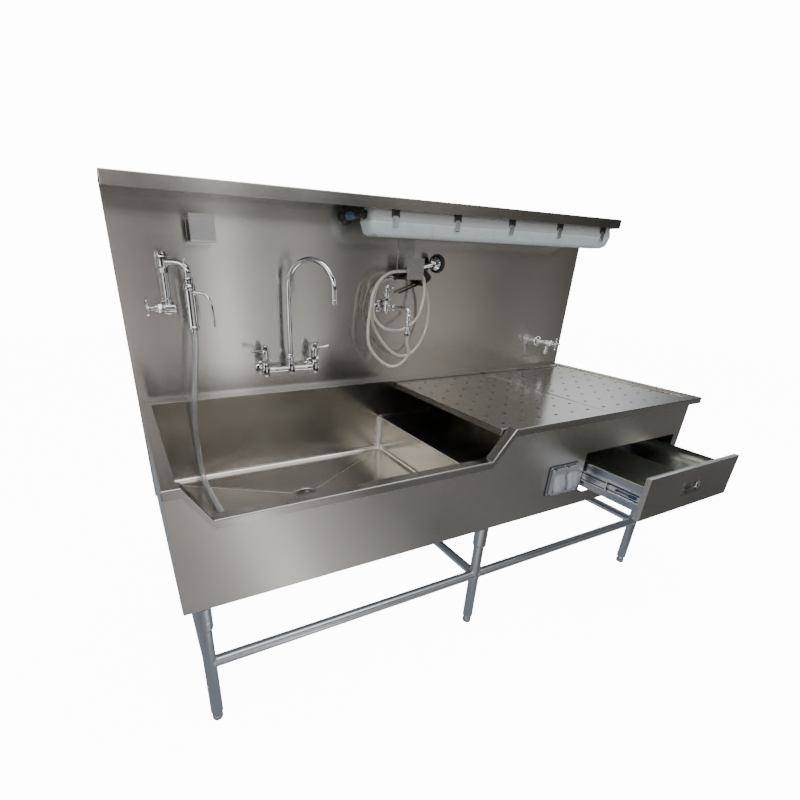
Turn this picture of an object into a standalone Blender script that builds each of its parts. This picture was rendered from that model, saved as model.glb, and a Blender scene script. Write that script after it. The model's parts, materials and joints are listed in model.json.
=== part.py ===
"""Embalming sink station: a deep bowl and a perforated worktop on tube legs, with a backsplash, taps and a drawer."""

import math

import bmesh
import bpy
from mathutils import Matrix, Vector

# Overall, in metres: X from the left rim edge, Y from the front lip to the wall, Z from the floor
LENGTH = 2.134
DEPTH = 0.770
WORK_HEIGHT = 0.838
OVERALL_HEIGHT = 1.525
SHEET = 0.002
GAP = 0.0003
SIDES = 12
LEG_SIDES = 14

# Rim with its dropped front
RIM_WIDTH = 0.038
RIM_LIP = 0.025
RIM_BEND = 0.004
BACK_LEDGE = 0.048
FRONT_DROP = 0.101
DIP_LEFT = 0.045
DIP_LEFT_RUN = 0.065
DIP_RIGHT = 1.083
DIP_RIGHT_RUN = 0.081

# Apron and end panels
APRON_FACE = 0.028
APRON_BOTTOM = WORK_HEIGHT - 0.386
APRON_LEFT_INSET = 0.0008
APRON_RIGHT_INSET = 0.022
APRON_FLANGE = 0.060

# Backsplash and overhead shelf
SPLASH_RETURN = 0.038
SPLASH_HEM = 0.020
SHELF_DEPTH = 0.200
SHELF_LIP = 0.037
SHELF_BEND = 0.003
SPLASH_SHARE = (OVERALL_HEIGHT - WORK_HEIGHT) / 0.687

# Bowl and drain
TUCK = 0.002
BOWL_RIGHT = 0.990
BOWL_FLOOR = WORK_HEIGHT - 0.316
BOWL_COVE = 0.020
BOWL_CORNER = 0.010
FLOOR_FALL = 0.012
DRAIN_X = 0.519
DRAIN_Y = DEPTH - 0.327
DRAIN_SEAT = 0.058
DRAIN_HOLE = 0.046
TAIL_END = BOWL_FLOOR - 0.162
TAIL_RADIUS = 0.019
TAIL_BORE = 0.017

# Drain pan under the worktop
PAN_FLOOR = WORK_HEIGHT - 0.160
PAN_RISE = 0.012
PAN_CORNER = 0.012

# Lift-out worktop panels and the ledges under them
PANEL_LEFT = 1.058
PANEL_SEAM = 1.577
PANEL_DROP = 0.008
PANEL_FLANGE = 0.025
PANEL_CLEAR = 0.003
PANEL_SEAM_GAP = 0.0016
PANEL_BEND = 0.003
PANEL_PITCH = 0.090
PANEL_HOLE = 0.005
NOTCH_RADIUS = 0.014
LEDGE_WIDTH = 0.020
LEDGE_THICK = 0.003

# Legs, sockets, rails and feet
LEG_RADIUS = 0.019
LEG_FIRST = 0.055
LEG_MIDDLE = 1.052
LEG_LAST_INSET = 0.115
LEG_SETBACK = 0.024
LEG_REAR_INSET = 0.028
SOCKET_RADIUS = 0.024
SOCKET_LENGTH = 0.084
SOCKET_ROOF = 0.012
RAIL_RADIUS = 0.0172
RAIL_HEIGHT = 0.234
FOOT_HEIGHT = 0.030
FOOT_RADIUS = 0.0165
STEM_RADIUS = 0.006
STEM_LENGTH = 0.045

# Drawer, standing half open at rest
DRAWER_END = 0.064
DRAWER_WIDTH = 0.559
DRAWER_DROP = 0.164
DRAWER_HEIGHT = 0.170
DRAWER_RIGHT = LENGTH - DRAWER_END
DRAWER_LEFT = DRAWER_RIGHT - DRAWER_WIDTH
DRAWER_TOP = WORK_HEIGHT - DRAWER_DROP
DRAWER_BOTTOM = DRAWER_TOP - DRAWER_HEIGHT
DRAWER_EASE = 0.0018
DRAWER_OUT = 0.254
FRONT_THICK = 0.019
BOX_BOTTOM = DRAWER_BOTTOM + 0.026
BOX_TOP = DRAWER_TOP - 0.045
BOX_DEPTH = 0.500
BOX_SHEET = 0.0015
DIVIDER_X = DRAWER_LEFT + 0.300
DIVIDER_TOP = BOX_TOP - 0.007
HANGER_REACH = BOX_DEPTH + 0.032
HANGER_FLANGE = 0.020
SLIDE_LENGTH = BOX_DEPTH - 0.002
SLIDE_THICK = 0.0127
SLIDE_HALF = 0.0225
SLIDE_STEEL = 0.0012
CUP_WIDTH = 0.116
CUP_HEIGHT = 0.056
POCKET_WIDTH = 0.096
POCKET_HEIGHT = 0.038
POCKET_DEPTH = 0.0125
CUP_STEEL = 0.0012
BAIL_RADIUS = 0.003
BAIL_DROP = 0.022

# Two-gang outlet
OUTLET_X = DRAWER_LEFT - 0.119
OUTLET_Z = WORK_HEIGHT - 0.248
COVER_WIDTH = 0.146
COVER_HEIGHT = 0.117
COVER_THICK = 0.006
OUTLET_BOX_WIDTH = 0.122
OUTLET_BOX_HEIGHT = 0.092
OUTLET_BOX_DEPTH = 0.055
LID_WIDTH = 0.064
LID_PITCH = 0.068
LID_HINGE_RISE = 0.046
WINDOW_WIDTH = 0.036
WINDOW_HEIGHT = 0.070

# Taps
SHANK_RADIUS = 0.0105
SHANK_END = 0.034
SHANK_EASE = 0.0013
FAUCET_X = 0.566
FAUCET_Z = WORK_HEIGHT + 0.091
FAUCET_CENTRES = 0.203
FAUCET_REACH = 0.052
SPOUT_RADIUS = 0.0095
SPOUT_SPREAD = 0.200
SPOUT_ARC_Z = FAUCET_Z + 0.293
SPOUT_TIP_Z = SPOUT_ARC_Z - 0.040
SPOUT_HEADING = 303.0
LEVER_ARM = 0.062
ASPIRATOR_X = 0.145
ASPIRATOR_Z = WORK_HEIGHT + 0.322 * SPLASH_SHARE
ASPIRATOR_REACH = 0.0435
EJECTOR_X = 0.210
EJECTOR_Y = DEPTH - 0.096
EJECTOR_TOP = ASPIRATOR_Z + 0.0847
EJECTOR_BOTTOM = EJECTOR_TOP - 0.1597
SPRAY_X = 0.985
SPRAY_Z = WORK_HEIGHT + 0.314 * SPLASH_SHARE
SPRAY_REACH = 0.060
DROP_X = 1.032
DROP_Y = DEPTH - 0.158
DROP_END = SPRAY_Z - 0.106
SPIGOT_X = LENGTH - 0.175
SPIGOT_Z = WORK_HEIGHT + 0.124
SPIGOT_REACH = 0.105

# Hose hooks, spray gun and hoses
HOOK_THICK = 0.003
HOOK_WIDTH = 0.080
HOOK_RIGHT_X = 1.062
HOOK_RIGHT_DEPTH = 0.078
HOOK_RIGHT_Z = WORK_HEIGHT + 0.418 * SPLASH_SHARE
HOOK_RIGHT_TOP = HOOK_RIGHT_Z + 0.164
HOOK_RIGHT_LIP = HOOK_RIGHT_Z + 0.0815
HOOK_LEFT_X = 0.236
HOOK_LEFT_DEPTH = 0.075
HOOK_LEFT_Z = OVERALL_HEIGHT - 0.162
HOOK_LEFT_TOP = HOOK_LEFT_Z + 0.0725
HOOK_LEFT_LIP = HOOK_LEFT_Z + 0.082
GUN_START = (HOOK_RIGHT_X - 0.062, DEPTH - 0.020, HOOK_RIGHT_Z - 0.0024)
GUN_TILT = 16.6
GUN_HEAD = (HOOK_RIGHT_X + 0.160, DEPTH - 0.048, HOOK_RIGHT_Z + 0.063)
GUN_AIM = (0.95, 0.28, 0.12)
SPRAY_HOSE = 0.0125
DRAIN_HOSE = 0.022

# Linear light under the shelf
LIGHT_LENGTH = 1.275
LIGHT_WIDTH = 0.105
LIGHT_RIGHT = LENGTH - 0.024
LIGHT_LEFT = LIGHT_RIGHT - LIGHT_LENGTH
LIGHT_BACK = DEPTH - 0.080
LIGHT_FRONT = LIGHT_BACK - LIGHT_WIDTH
LIGHT_TOP = OVERALL_HEIGHT - 0.025
LIGHT_JOINT = LIGHT_TOP - 0.048
LIGHT_BOTTOM = LIGHT_TOP - 0.095
LIGHT_WALL = 0.0025
CLIP_FIRST = LIGHT_LEFT + 0.095
CLIP_PITCH = 0.277
CLIP_COUNT = 5
CONDUIT_X = LIGHT_LEFT - 0.017
CONDUIT_Z = LIGHT_JOINT + 0.020

# Colour, roughness, metallic
FINISHES = {
    "satin_steel": ((0.60, 0.58, 0.55), 0.30, 1.0),
    "leg_steel": ((0.56, 0.59, 0.62), 0.34, 1.0),
    "polished_chrome": ((0.86, 0.87, 0.88), 0.06, 1.0),
    "zinc_plate": ((0.68, 0.70, 0.72), 0.32, 1.0),
    "cast_grey": ((0.60, 0.62, 0.64), 0.45, 0.6),
    "black_rubber": ((0.018, 0.018, 0.020), 0.55, 0.0),
    "black_plastic": ((0.025, 0.025, 0.028), 0.40, 0.0),
    "grey_plastic": ((0.55, 0.57, 0.59), 0.45, 0.0),
    "white_diffuser": ((0.88, 0.91, 0.93), 0.30, 0.0),
    "braided_hose": ((0.72, 0.69, 0.62), 0.40, 0.0),
    "clear_vinyl": ((0.74, 0.79, 0.82), 0.15, 0.0),
}

# Lines that follow from the sizes
LOW_RIM = WORK_HEIGHT - FRONT_DROP
UNDER_RIM = WORK_HEIGHT - SHEET - GAP
BOWL_LEFT = RIM_WIDTH - TUCK
BOWL_FRONT = RIM_WIDTH - TUCK
BOWL_BACK = DEPTH - BACK_LEDGE + TUCK
PAN_LEFT = BOWL_RIGHT - BOWL_CORNER
PAN_RIGHT = LENGTH - RIM_WIDTH + TUCK
APRON_LEFT = RIM_BEND + APRON_LEFT_INSET
APRON_RIGHT = LENGTH - APRON_RIGHT_INSET
APRON_BACK = APRON_FACE + SHEET
PANEL_TOP = WORK_HEIGHT - PANEL_DROP
PANEL_FRONT = RIM_WIDTH + PANEL_CLEAR
PANEL_BACK = DEPTH - BACK_LEDGE - PANEL_CLEAR
PANEL_RIGHT = LENGTH - RIM_WIDTH - PANEL_CLEAR
LEDGE_TOP = PANEL_TOP - PANEL_FLANGE - GAP
DRAIN_Z = BOWL_FLOOR - FLOOR_FALL
FACE_Y = APRON_FACE - DRAWER_OUT
SLIDE_START = APRON_FACE + FRONT_THICK + 0.002
SLIDE_Z = (BOX_BOTTOM + BOX_TOP) / 2
DRAWER_X = (DRAWER_LEFT + DRAWER_RIGHT) / 2
DRAWER_Z = (DRAWER_BOTTOM + DRAWER_TOP) / 2
CUP_FRONT = FACE_Y - GAP - CUP_STEEL
WALL_BACK = DEPTH + SPLASH_RETURN
Y_MID = (CUP_FRONT + WALL_BACK) / 2
FAUCET_Y = DEPTH - FAUCET_REACH
LEG_X = (LEG_FIRST, LEG_MIDDLE, LENGTH - LEG_LAST_INSET)
LEG_Y = (APRON_FACE + LEG_SETBACK, DEPTH - LEG_REAR_INSET)
SHELF_UNDER = OVERALL_HEIGHT - SHEET
FRONT_LINE = [
    (0.0, WORK_HEIGHT),
    (DIP_LEFT, WORK_HEIGHT),
    (DIP_LEFT + DIP_LEFT_RUN, LOW_RIM),
    (DIP_RIGHT - DIP_RIGHT_RUN, LOW_RIM),
    (DIP_RIGHT, WORK_HEIGHT),
    (LENGTH, WORK_HEIGHT),
]

# Hose centre lines: along the wall from the hook, out from the wall, up from the work height
SPRAY_LOOPS = (
    (-0.0120, -0.151, 0.1370),
    (-0.0320, -0.130, 0.0950),
    (-0.0660, -0.110, 0.0790),
    (-0.1030, -0.090, 0.0970),
    (-0.1550, -0.070, 0.1600),
    (-0.1630, -0.065, 0.2350),
    (-0.1530, -0.065, 0.3190),
    (-0.1480, -0.065, 0.3570),
    (-0.1250, -0.065, 0.4060),
    (-0.0770, -0.066, 0.4420),
    (-0.0170, -0.067, 0.4500),
    (0.0380, -0.068, 0.4480),
    (0.0690, -0.068, 0.4420),
    (0.0895, -0.068, 0.4260),
    (0.0970, -0.069, 0.3950),
    (0.0950, -0.070, 0.3330),
    (0.0660, -0.070, 0.2620),
    (0.0020, -0.070, 0.2240),
    (-0.0450, -0.070, 0.2220),
    (-0.0900, -0.066, 0.2340),
    (-0.1300, -0.058, 0.2730),
    (-0.1370, -0.054, 0.3220),
    (-0.1270, -0.053, 0.3770),
    (-0.0970, -0.052, 0.4240),
    (-0.0540, -0.052, 0.4455),
    (-0.0070, -0.052, 0.4505),
    (0.0380, -0.052, 0.4485),
    (0.0700, -0.052, 0.4425),
    (0.0920, -0.052, 0.4270),
    (0.1110, -0.052, 0.3930),
    (0.1390, -0.050, 0.3140),
    (0.1320, -0.050, 0.2050),
    (0.0700, -0.050, 0.1190),
    (0.0120, -0.045, 0.1090),
    (-0.0470, -0.040, 0.1430),
    (-0.1150, -0.035, 0.2280),
    (-0.1340, -0.032, 0.3020),
    (-0.1210, -0.027, 0.3620),
    (-0.1070, -0.022, 0.3920),
)
DRAIN_FALL = (
    (-0.0100, -0.100, 0.1420),
    (-0.0220, -0.104, 0.0620),
    (-0.0300, -0.102, 0.0020),
    (-0.0340, -0.080, -0.0780),
    (-0.0340, -0.068, -0.1580),
    (-0.0330, -0.070, -0.2180),
    (-0.0320, -0.080, -0.2680),
    (-0.0310, -0.105, -0.2970),
    (-0.0300, -0.150, -0.3065),
    (-0.0280, -0.220, -0.3070),
    (-0.0240, -0.310, -0.3075),
    (-0.0200, -0.380, -0.3075),
    (-0.0150, -0.430, -0.3075),
)
SPRAY_PATH = [(DROP_X, DROP_Y, DROP_END - GAP), (DROP_X, DROP_Y, DROP_END - 0.024)]
for along, out, rise in SPRAY_LOOPS:
    SPRAY_PATH.append((HOOK_RIGHT_X + along, DEPTH + out, WORK_HEIGHT + rise * SPLASH_SHARE))
DRAIN_PATH = [(EJECTOR_X, EJECTOR_Y, EJECTOR_BOTTOM - GAP), (EJECTOR_X, EJECTOR_Y, EJECTOR_BOTTOM - 0.025)]
for along, out, rise in DRAIN_FALL:
    DRAIN_PATH.append((EJECTOR_X + along, DEPTH + out, WORK_HEIGHT + rise))


for old in list(bpy.data.objects):
    bpy.data.objects.remove(old, do_unlink=True)
home = bpy.data.collections.new("embalming_sink_station")
bpy.context.scene.collection.children.link(home)
workshop = bpy.data.collections.new("construction")
workshop.hide_render = True
bpy.context.scene.collection.children.link(workshop)
station = bpy.data.objects.new("station", None)
station.location = (-LENGTH / 2, -Y_MID, 0.0)
home.objects.link(station)


def material(finish):
    """The Principled material of a finish, made once."""
    found = bpy.data.materials.get(finish)
    if found:
        return found
    colour, roughness, metallic = FINISHES[finish]
    made = bpy.data.materials.new(finish)
    made.use_nodes = True
    shader = made.node_tree.nodes["Principled BSDF"]
    shader.inputs["Base Color"].default_value = (*colour, 1.0)
    shader.inputs["Roughness"].default_value = roughness
    shader.inputs["Metallic"].default_value = metallic
    made.diffuse_color = (*colour, 1.0)
    return made


def box_shape(low, high):
    """A box between two corners."""
    shape = bmesh.new()
    bmesh.ops.create_cube(shape, size=1.0)
    size = [b - a for a, b in zip(low, high)]
    middle = [(a + b) / 2 for a, b in zip(low, high)]
    bmesh.ops.scale(shape, vec=size, verts=shape.verts)
    bmesh.ops.translate(shape, vec=middle, verts=shape.verts)
    return shape


def turn_to(axis):
    """The rotation that takes +Z to an axis."""
    return Vector((0, 0, 1)).rotation_difference(Vector(axis)).to_matrix().to_4x4()


def rod_shape(start, end, radius, end_radius=None, sides=SIDES):
    """A round bar between two points, tapered when end_radius is given."""
    start = Vector(start)
    end = Vector(end)
    shape = bmesh.new()
    bmesh.ops.create_cone(
        shape,
        cap_ends=True,
        segments=sides,
        radius1=radius,
        radius2=radius if end_radius is None else end_radius,
        depth=(end - start).length,
    )
    place = Matrix.Translation((start + end) / 2) @ turn_to(end - start)
    bmesh.ops.transform(shape, matrix=place, verts=shape.verts)
    return shape


def turned_shape(profile, base=(0, 0, 0), axis=(0, 0, 1), sides=SIDES):
    """A turned solid from (radius, height) points, closed on the axis or round a bore."""
    shape = bmesh.new()
    points = [shape.verts.new((radius, 0, height)) for radius, height in profile]
    pairs = list(zip(points, points[1:]))
    if profile[0][0] > 0 or profile[-1][0] > 0:
        pairs.append((points[-1], points[0]))
    edges = [shape.edges.new(pair) for pair in pairs]
    bmesh.ops.spin(
        shape,
        geom=points + edges,
        cent=(0, 0, 0),
        axis=(0, 0, 1),
        angle=2 * math.pi,
        steps=sides,
        use_merge=True,
    )
    bmesh.ops.remove_doubles(shape, verts=shape.verts, dist=1e-6)
    bmesh.ops.recalc_face_normals(shape, faces=shape.faces)
    bmesh.ops.transform(shape, matrix=Matrix.Translation(base) @ turn_to(axis), verts=shape.verts)
    return shape


def prism_shape(outline, axis, start, stop):
    """An outline drawn across an axis (0, 1 or 2) and drawn out along it."""
    shape = bmesh.new()

    def point(pair, along):
        place = list(pair)
        place.insert(axis, along)
        return shape.verts.new(place)

    low = [point(pair, start) for pair in outline]
    high = [point(pair, stop) for pair in outline]
    shape.faces.new(low)
    shape.faces.new(high[::-1])
    for index in range(len(outline)):
        after = (index + 1) % len(outline)
        shape.faces.new((low[index], high[index], high[after], low[after]))
    bmesh.ops.recalc_face_normals(shape, faces=shape.faces)
    return shape


def loft_shape(rings, cap_last=False, cap_first=False):
    """A skin through rings of equal count; its faces look inward when the rings run downward."""
    shape = bmesh.new()
    loops = [[shape.verts.new(point) for point in ring] for ring in rings]
    for above, below in zip(loops, loops[1:]):
        for index in range(len(above)):
            after = (index + 1) % len(above)
            shape.faces.new((above[index], above[after], below[after], below[index]))
    if cap_last:
        shape.faces.new(loops[-1])
    if cap_first:
        shape.faces.new(loops[0][::-1])
    return shape


def corner_ring(low, high, radius, height, steps=3):
    """A rectangle with rounded corners, counter-clockwise from its first corner."""
    points = []
    corners = (
        (low[0] + radius, low[1] + radius, 180),
        (high[0] - radius, low[1] + radius, 270),
        (high[0] - radius, high[1] - radius, 0),
        (low[0] + radius, high[1] - radius, 90),
    )
    for across, along, first in corners:
        for step in range(steps + 1):
            angle = math.radians(first + 90 * step / steps)
            x = across + radius * math.cos(angle)
            y = along + radius * math.sin(angle)
            points.append((x, y, height(x) if callable(height) else height))
    return points


def round_ring(centre, radius, height, count=16):
    """A circle whose points pair with those of a rounded rectangle."""
    points = []
    for index in range(count):
        angle = math.radians(180 + 360 / count * (index + 0.5))
        points.append((centre[0] + radius * math.cos(angle), centre[1] + radius * math.sin(angle), height))
    return points


def offset_line(points, distance):
    """The mitred parallel of an open line, on its right-hand side."""
    points = [Vector(point) for point in points]
    ways = [(b - a).normalized() for a, b in zip(points, points[1:])]
    result = []
    for index, point in enumerate(points):
        before = ways[max(index - 1, 0)]
        after = ways[min(index, len(ways) - 1)]
        middle = (before + after).normalized()
        side = Vector((middle.y, -middle.x))
        result.append(tuple(point + side * (distance / middle.dot(after))))
    return result


def rounded_line(points, radius, steps=3):
    """An open line with its inner corners rounded."""
    points = [Vector(point) for point in points]
    result = [tuple(points[0])]
    for before, corner, after in zip(points, points[1:], points[2:]):
        arrive = (before - corner).normalized()
        leave = (after - corner).normalized()
        half = arrive.angle(leave) / 2
        start = corner + arrive * (radius / math.tan(half))
        stop = corner + leave * (radius / math.tan(half))
        centre = corner + (arrive + leave).normalized() * (radius / math.sin(half))
        for step in range(steps + 1):
            way = (start - centre).lerp(stop - centre, step / steps).normalized()
            result.append(tuple(centre + way * radius))
    result.append(tuple(points[-1]))
    return result


def smooth_path(points, spacing, most=80):
    """Even points on a smooth curve through the given ones, with a straight run at each end."""
    points = [Vector(point) for point in points]
    fine = []
    for first, second, third, fourth in zip(points, points[1:], points[2:], points[3:]):
        knots = [0.0]
        for a, b in ((first, second), (second, third), (third, fourth)):
            knots.append(knots[-1] + (b - a).length ** 0.5)
        for step in range(24):
            t = knots[1] + (knots[2] - knots[1]) * step / 24
            line = [
                first.lerp(second, (t - knots[0]) / (knots[1] - knots[0])),
                second.lerp(third, (t - knots[1]) / (knots[2] - knots[1])),
                third.lerp(fourth, (t - knots[2]) / (knots[3] - knots[2])),
            ]
            near = line[0].lerp(line[1], (t - knots[0]) / (knots[2] - knots[0]))
            far = line[1].lerp(line[2], (t - knots[1]) / (knots[3] - knots[1]))
            fine.append(near.lerp(far, (t - knots[1]) / (knots[2] - knots[1])))
    fine.append(points[-2])
    lengths = [0.0]
    for a, b in zip(fine, fine[1:]):
        lengths.append(lengths[-1] + (b - a).length)
    count = min(most - 3, max(2, round(lengths[-1] / spacing)))
    result = [tuple(points[0])]
    place = 0
    for index in range(count + 1):
        wanted = lengths[-1] * index / count
        while place < len(fine) - 2 and lengths[place + 1] < wanted:
            place += 1
        share = (wanted - lengths[place]) / (lengths[place + 1] - lengths[place])
        result.append(tuple(fine[place].lerp(fine[place + 1], share)))
    result.append(tuple(points[-1]))
    return result


def own_gap(path, diameter):
    """Least clear distance between turns of a tube that lie apart along it."""
    fine = []
    for a, b in zip(path, path[1:]):
        for step in range(6):
            fine.append(Vector(a).lerp(Vector(b), step / 6))
    spacing = (fine[1] - fine[0]).length
    apart = int(6 * diameter / spacing)
    least = min(
        (fine[i] - fine[j]).length
        for i in range(len(fine))
        for j in range(i + apart, len(fine))
    )
    return least - diameter


def tube_curve(name, path, radius, resolution):
    """A round tube with filled ends along a path."""
    curve = bpy.data.curves.new(name, "CURVE")
    curve.dimensions = "3D"
    spline = curve.splines.new("POLY")
    spline.points.add(len(path) - 1)
    for point, place in zip(spline.points, path):
        point.co = (*place, 1.0)
    curve.bevel_depth = radius
    curve.bevel_resolution = resolution
    curve.use_fill_caps = True
    return curve


def pipe_shape(path, radius, resolution=4):
    """The mesh of a tube along a path."""
    guide = bpy.data.objects.new("guide", tube_curve("guide", path, radius, resolution))
    workshop.objects.link(guide)
    graph = bpy.context.evaluated_depsgraph_get()
    mesh = bpy.data.meshes.new_from_object(guide.evaluated_get(graph))
    shape = bmesh.new()
    shape.from_mesh(mesh)
    bpy.data.objects.remove(guide, do_unlink=True)
    bpy.data.meshes.remove(mesh)
    bmesh.ops.remove_doubles(shape, verts=shape.verts, dist=1e-6)
    bmesh.ops.recalc_face_normals(shape, faces=shape.faces)
    return shape


def gathered(shapes):
    """Several separate shapes as one."""
    whole = bmesh.new()
    for shape in shapes:
        piece = bpy.data.meshes.new("piece")
        shape.to_mesh(piece)
        shape.free()
        whole.from_mesh(piece)
        bpy.data.meshes.remove(piece)
    return whole


def moved(shape, matrix):
    """A shape placed by a matrix."""
    bmesh.ops.transform(shape, matrix=matrix, verts=shape.verts)
    return shape


def to_mesh(name, shape, origin=(0, 0, 0)):
    """The mesh of a shape about an origin, smooth except at its sharp edges."""
    bmesh.ops.translate(shape, vec=[-value for value in origin], verts=shape.verts)
    mesh = bpy.data.meshes.new(name)
    shape.to_mesh(mesh)
    shape.free()
    mesh.polygons.foreach_set("use_smooth", [True] * len(mesh.polygons))
    mesh.set_sharp_from_angle(angle=math.radians(38))
    return mesh


def part(name, finish, shape, origin=(0, 0, 0)):
    """A named piece of the station; a moving piece has its origin on its axis."""
    mesh = to_mesh(name, shape, origin)
    mesh.materials.append(material(finish))
    obj = bpy.data.objects.new(name, mesh)
    obj.location = origin
    obj.parent = station
    home.objects.link(obj)
    return obj


def tube_part(name, finish, path, diameter, resolution):
    """A hose as a named piece."""
    curve = tube_curve(name, path, diameter / 2, resolution)
    curve.materials.append(material(finish))
    obj = bpy.data.objects.new(name, curve)
    obj.parent = station
    home.objects.link(obj)
    return obj


def combine(obj, shape, operation):
    """Adds an exact Boolean with a hidden helper."""
    helper = bpy.data.objects.new(obj.name + "_" + operation.lower(), to_mesh("helper", shape))
    helper.parent = station
    helper.hide_render = True
    helper.display_type = "WIRE"
    workshop.objects.link(helper)
    modifier = obj.modifiers.new(operation.lower(), "BOOLEAN")
    modifier.operation = operation
    modifier.solver = "EXACT"
    modifier.object = helper


def cut(obj, *shapes):
    """Cuts shapes out of a piece."""
    for shape in shapes:
        combine(obj, shape, "DIFFERENCE")


def join(obj, *shapes):
    """Joins shapes to a piece."""
    for shape in shapes:
        combine(obj, shape, "UNION")


def bent(obj, width, segments=2):
    """Rounds the folds of a sheet or the edges of a block."""
    modifier = obj.modifiers.new("bend", "BEVEL")
    modifier.limit_method = "ANGLE"
    modifier.angle_limit = math.radians(62)
    modifier.width = width
    modifier.segments = segments


def sheet(obj, thickness=SHEET):
    """Gives a skin its thickness behind its face."""
    modifier = obj.modifiers.new("sheet", "SOLIDIFY")
    modifier.thickness = thickness
    modifier.offset = -1.0
    modifier.use_even_offset = True
    modifier.use_quality_normals = True


def pan_floor(x):
    """Height of the drain pan's floor, rising to the right."""
    return PAN_FLOOR + PAN_RISE * (x - PAN_LEFT) / (PAN_RIGHT - PAN_LEFT)


def dip_cutter(clear=GAP):
    """The space above the dropped front rim."""
    line = offset_line(FRONT_LINE, SHEET + clear)[1:5]
    left_way = (Vector(line[0]) - Vector(line[1])).normalized() * 0.05
    right_way = (Vector(line[3]) - Vector(line[2])).normalized() * 0.05
    first = Vector(line[0]) + left_way
    last = Vector(line[3]) + right_way
    return prism_shape([first, line[1], line[2], last], 1, -0.02, RIM_WIDTH + 0.010)


def build_top():
    """Bowl, pan and the folded rim above them."""
    seat = [(x, 0.0, z) for x, z in FRONT_LINE]
    outer = seat + [(LENGTH, DEPTH - GAP, WORK_HEIGHT), (0.0, DEPTH - GAP, WORK_HEIGHT)]
    inner = [(min(max(x, RIM_WIDTH), LENGTH - RIM_WIDTH), RIM_WIDTH, z) for x, z in FRONT_LINE]
    inner.append((LENGTH - RIM_WIDTH, DEPTH - BACK_LEDGE, WORK_HEIGHT))
    inner.append((RIM_WIDTH, DEPTH - BACK_LEDGE, WORK_HEIGHT))
    shape = bmesh.new()
    tops = [shape.verts.new(point) for point in outer]
    edges = [shape.verts.new(point) for point in inner]
    lips = [shape.verts.new((x, y, z - RIM_LIP)) for x, y, z in outer]
    count = len(outer)
    for index in range(count):
        after = (index + 1) % count
        shape.faces.new((tops[index], tops[after], edges[after], edges[index]))
        if index != count - 2:
            shape.faces.new((lips[index], lips[after], tops[after], tops[index]))
    rim = part("top_rim", "satin_steel", shape)
    bent(rim, RIM_BEND)
    sheet(rim)

    low = (BOWL_LEFT, BOWL_FRONT)
    high = (BOWL_RIGHT, BOWL_BACK)
    rings = [corner_ring(low, high, BOWL_CORNER, UNDER_RIM)]
    for step in range(6):
        angle = math.radians(90 * step / 5)
        inset = BOWL_COVE * (1 - math.cos(angle))
        z = BOWL_FLOOR + BOWL_COVE * (1 - math.sin(angle))
        near = [value + inset for value in low]
        far = [value - inset for value in high]
        rings.append(corner_ring(near, far, BOWL_CORNER, z))
    rings.append(round_ring((DRAIN_X, DRAIN_Y), DRAIN_SEAT, DRAIN_Z))
    rings.append(round_ring((DRAIN_X, DRAIN_Y), DRAIN_HOLE, DRAIN_Z))
    bowl = part("sink_bowl", "satin_steel", loft_shape(rings))
    sheet(bowl)
    step_top = PAN_FLOOR - SHEET - GAP
    cut(bowl, box_shape((PAN_LEFT, -0.05, step_top), (BOWL_RIGHT + 0.05, DEPTH, WORK_HEIGHT + 0.05)))
    cut(bowl, dip_cutter())

    low = (PAN_LEFT - 0.080, BOWL_FRONT)
    high = (PAN_RIGHT, BOWL_BACK)
    rings = [corner_ring(low, high, PAN_CORNER, UNDER_RIM)]
    for step in range(4):
        angle = math.radians(90 * step / 3)
        inset = PAN_CORNER * (1 - math.cos(angle))
        rise = PAN_CORNER * (1 - math.sin(angle))
        near = [value + inset for value in low]
        far = [value - inset for value in high]
        rings.append(corner_ring(near, far, PAN_CORNER, lambda x: pan_floor(x) + rise))
    pan = part("drain_pan", "satin_steel", loft_shape(rings, cap_last=True))
    sheet(pan)
    cut(pan, box_shape((PAN_LEFT - 0.2, -0.05, PAN_FLOOR - 0.1), (PAN_LEFT + GAP, DEPTH, WORK_HEIGHT + 0.05)))
    cut(pan, dip_cutter())
    under = LEDGE_TOP - LEDGE_THICK
    half = SHEET / 2
    inner_front = BOWL_FRONT + LEDGE_WIDTH
    inner_back = BOWL_BACK - LEDGE_WIDTH
    bar = LEDGE_WIDTH / 2
    join(
        pan,
        box_shape((DIP_RIGHT, BOWL_FRONT - half, under), (PAN_RIGHT + half, inner_front, LEDGE_TOP)),
        box_shape((PANEL_LEFT, inner_back, under), (PAN_RIGHT + half, BOWL_BACK + half, LEDGE_TOP)),
        box_shape((PAN_RIGHT - LEDGE_WIDTH, inner_front - half, under), (PAN_RIGHT + half, inner_back + half, LEDGE_TOP)),
        box_shape((PANEL_SEAM - bar, inner_front - half, under), (PANEL_SEAM + bar, inner_back + half, LEDGE_TOP)),
    )


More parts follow.
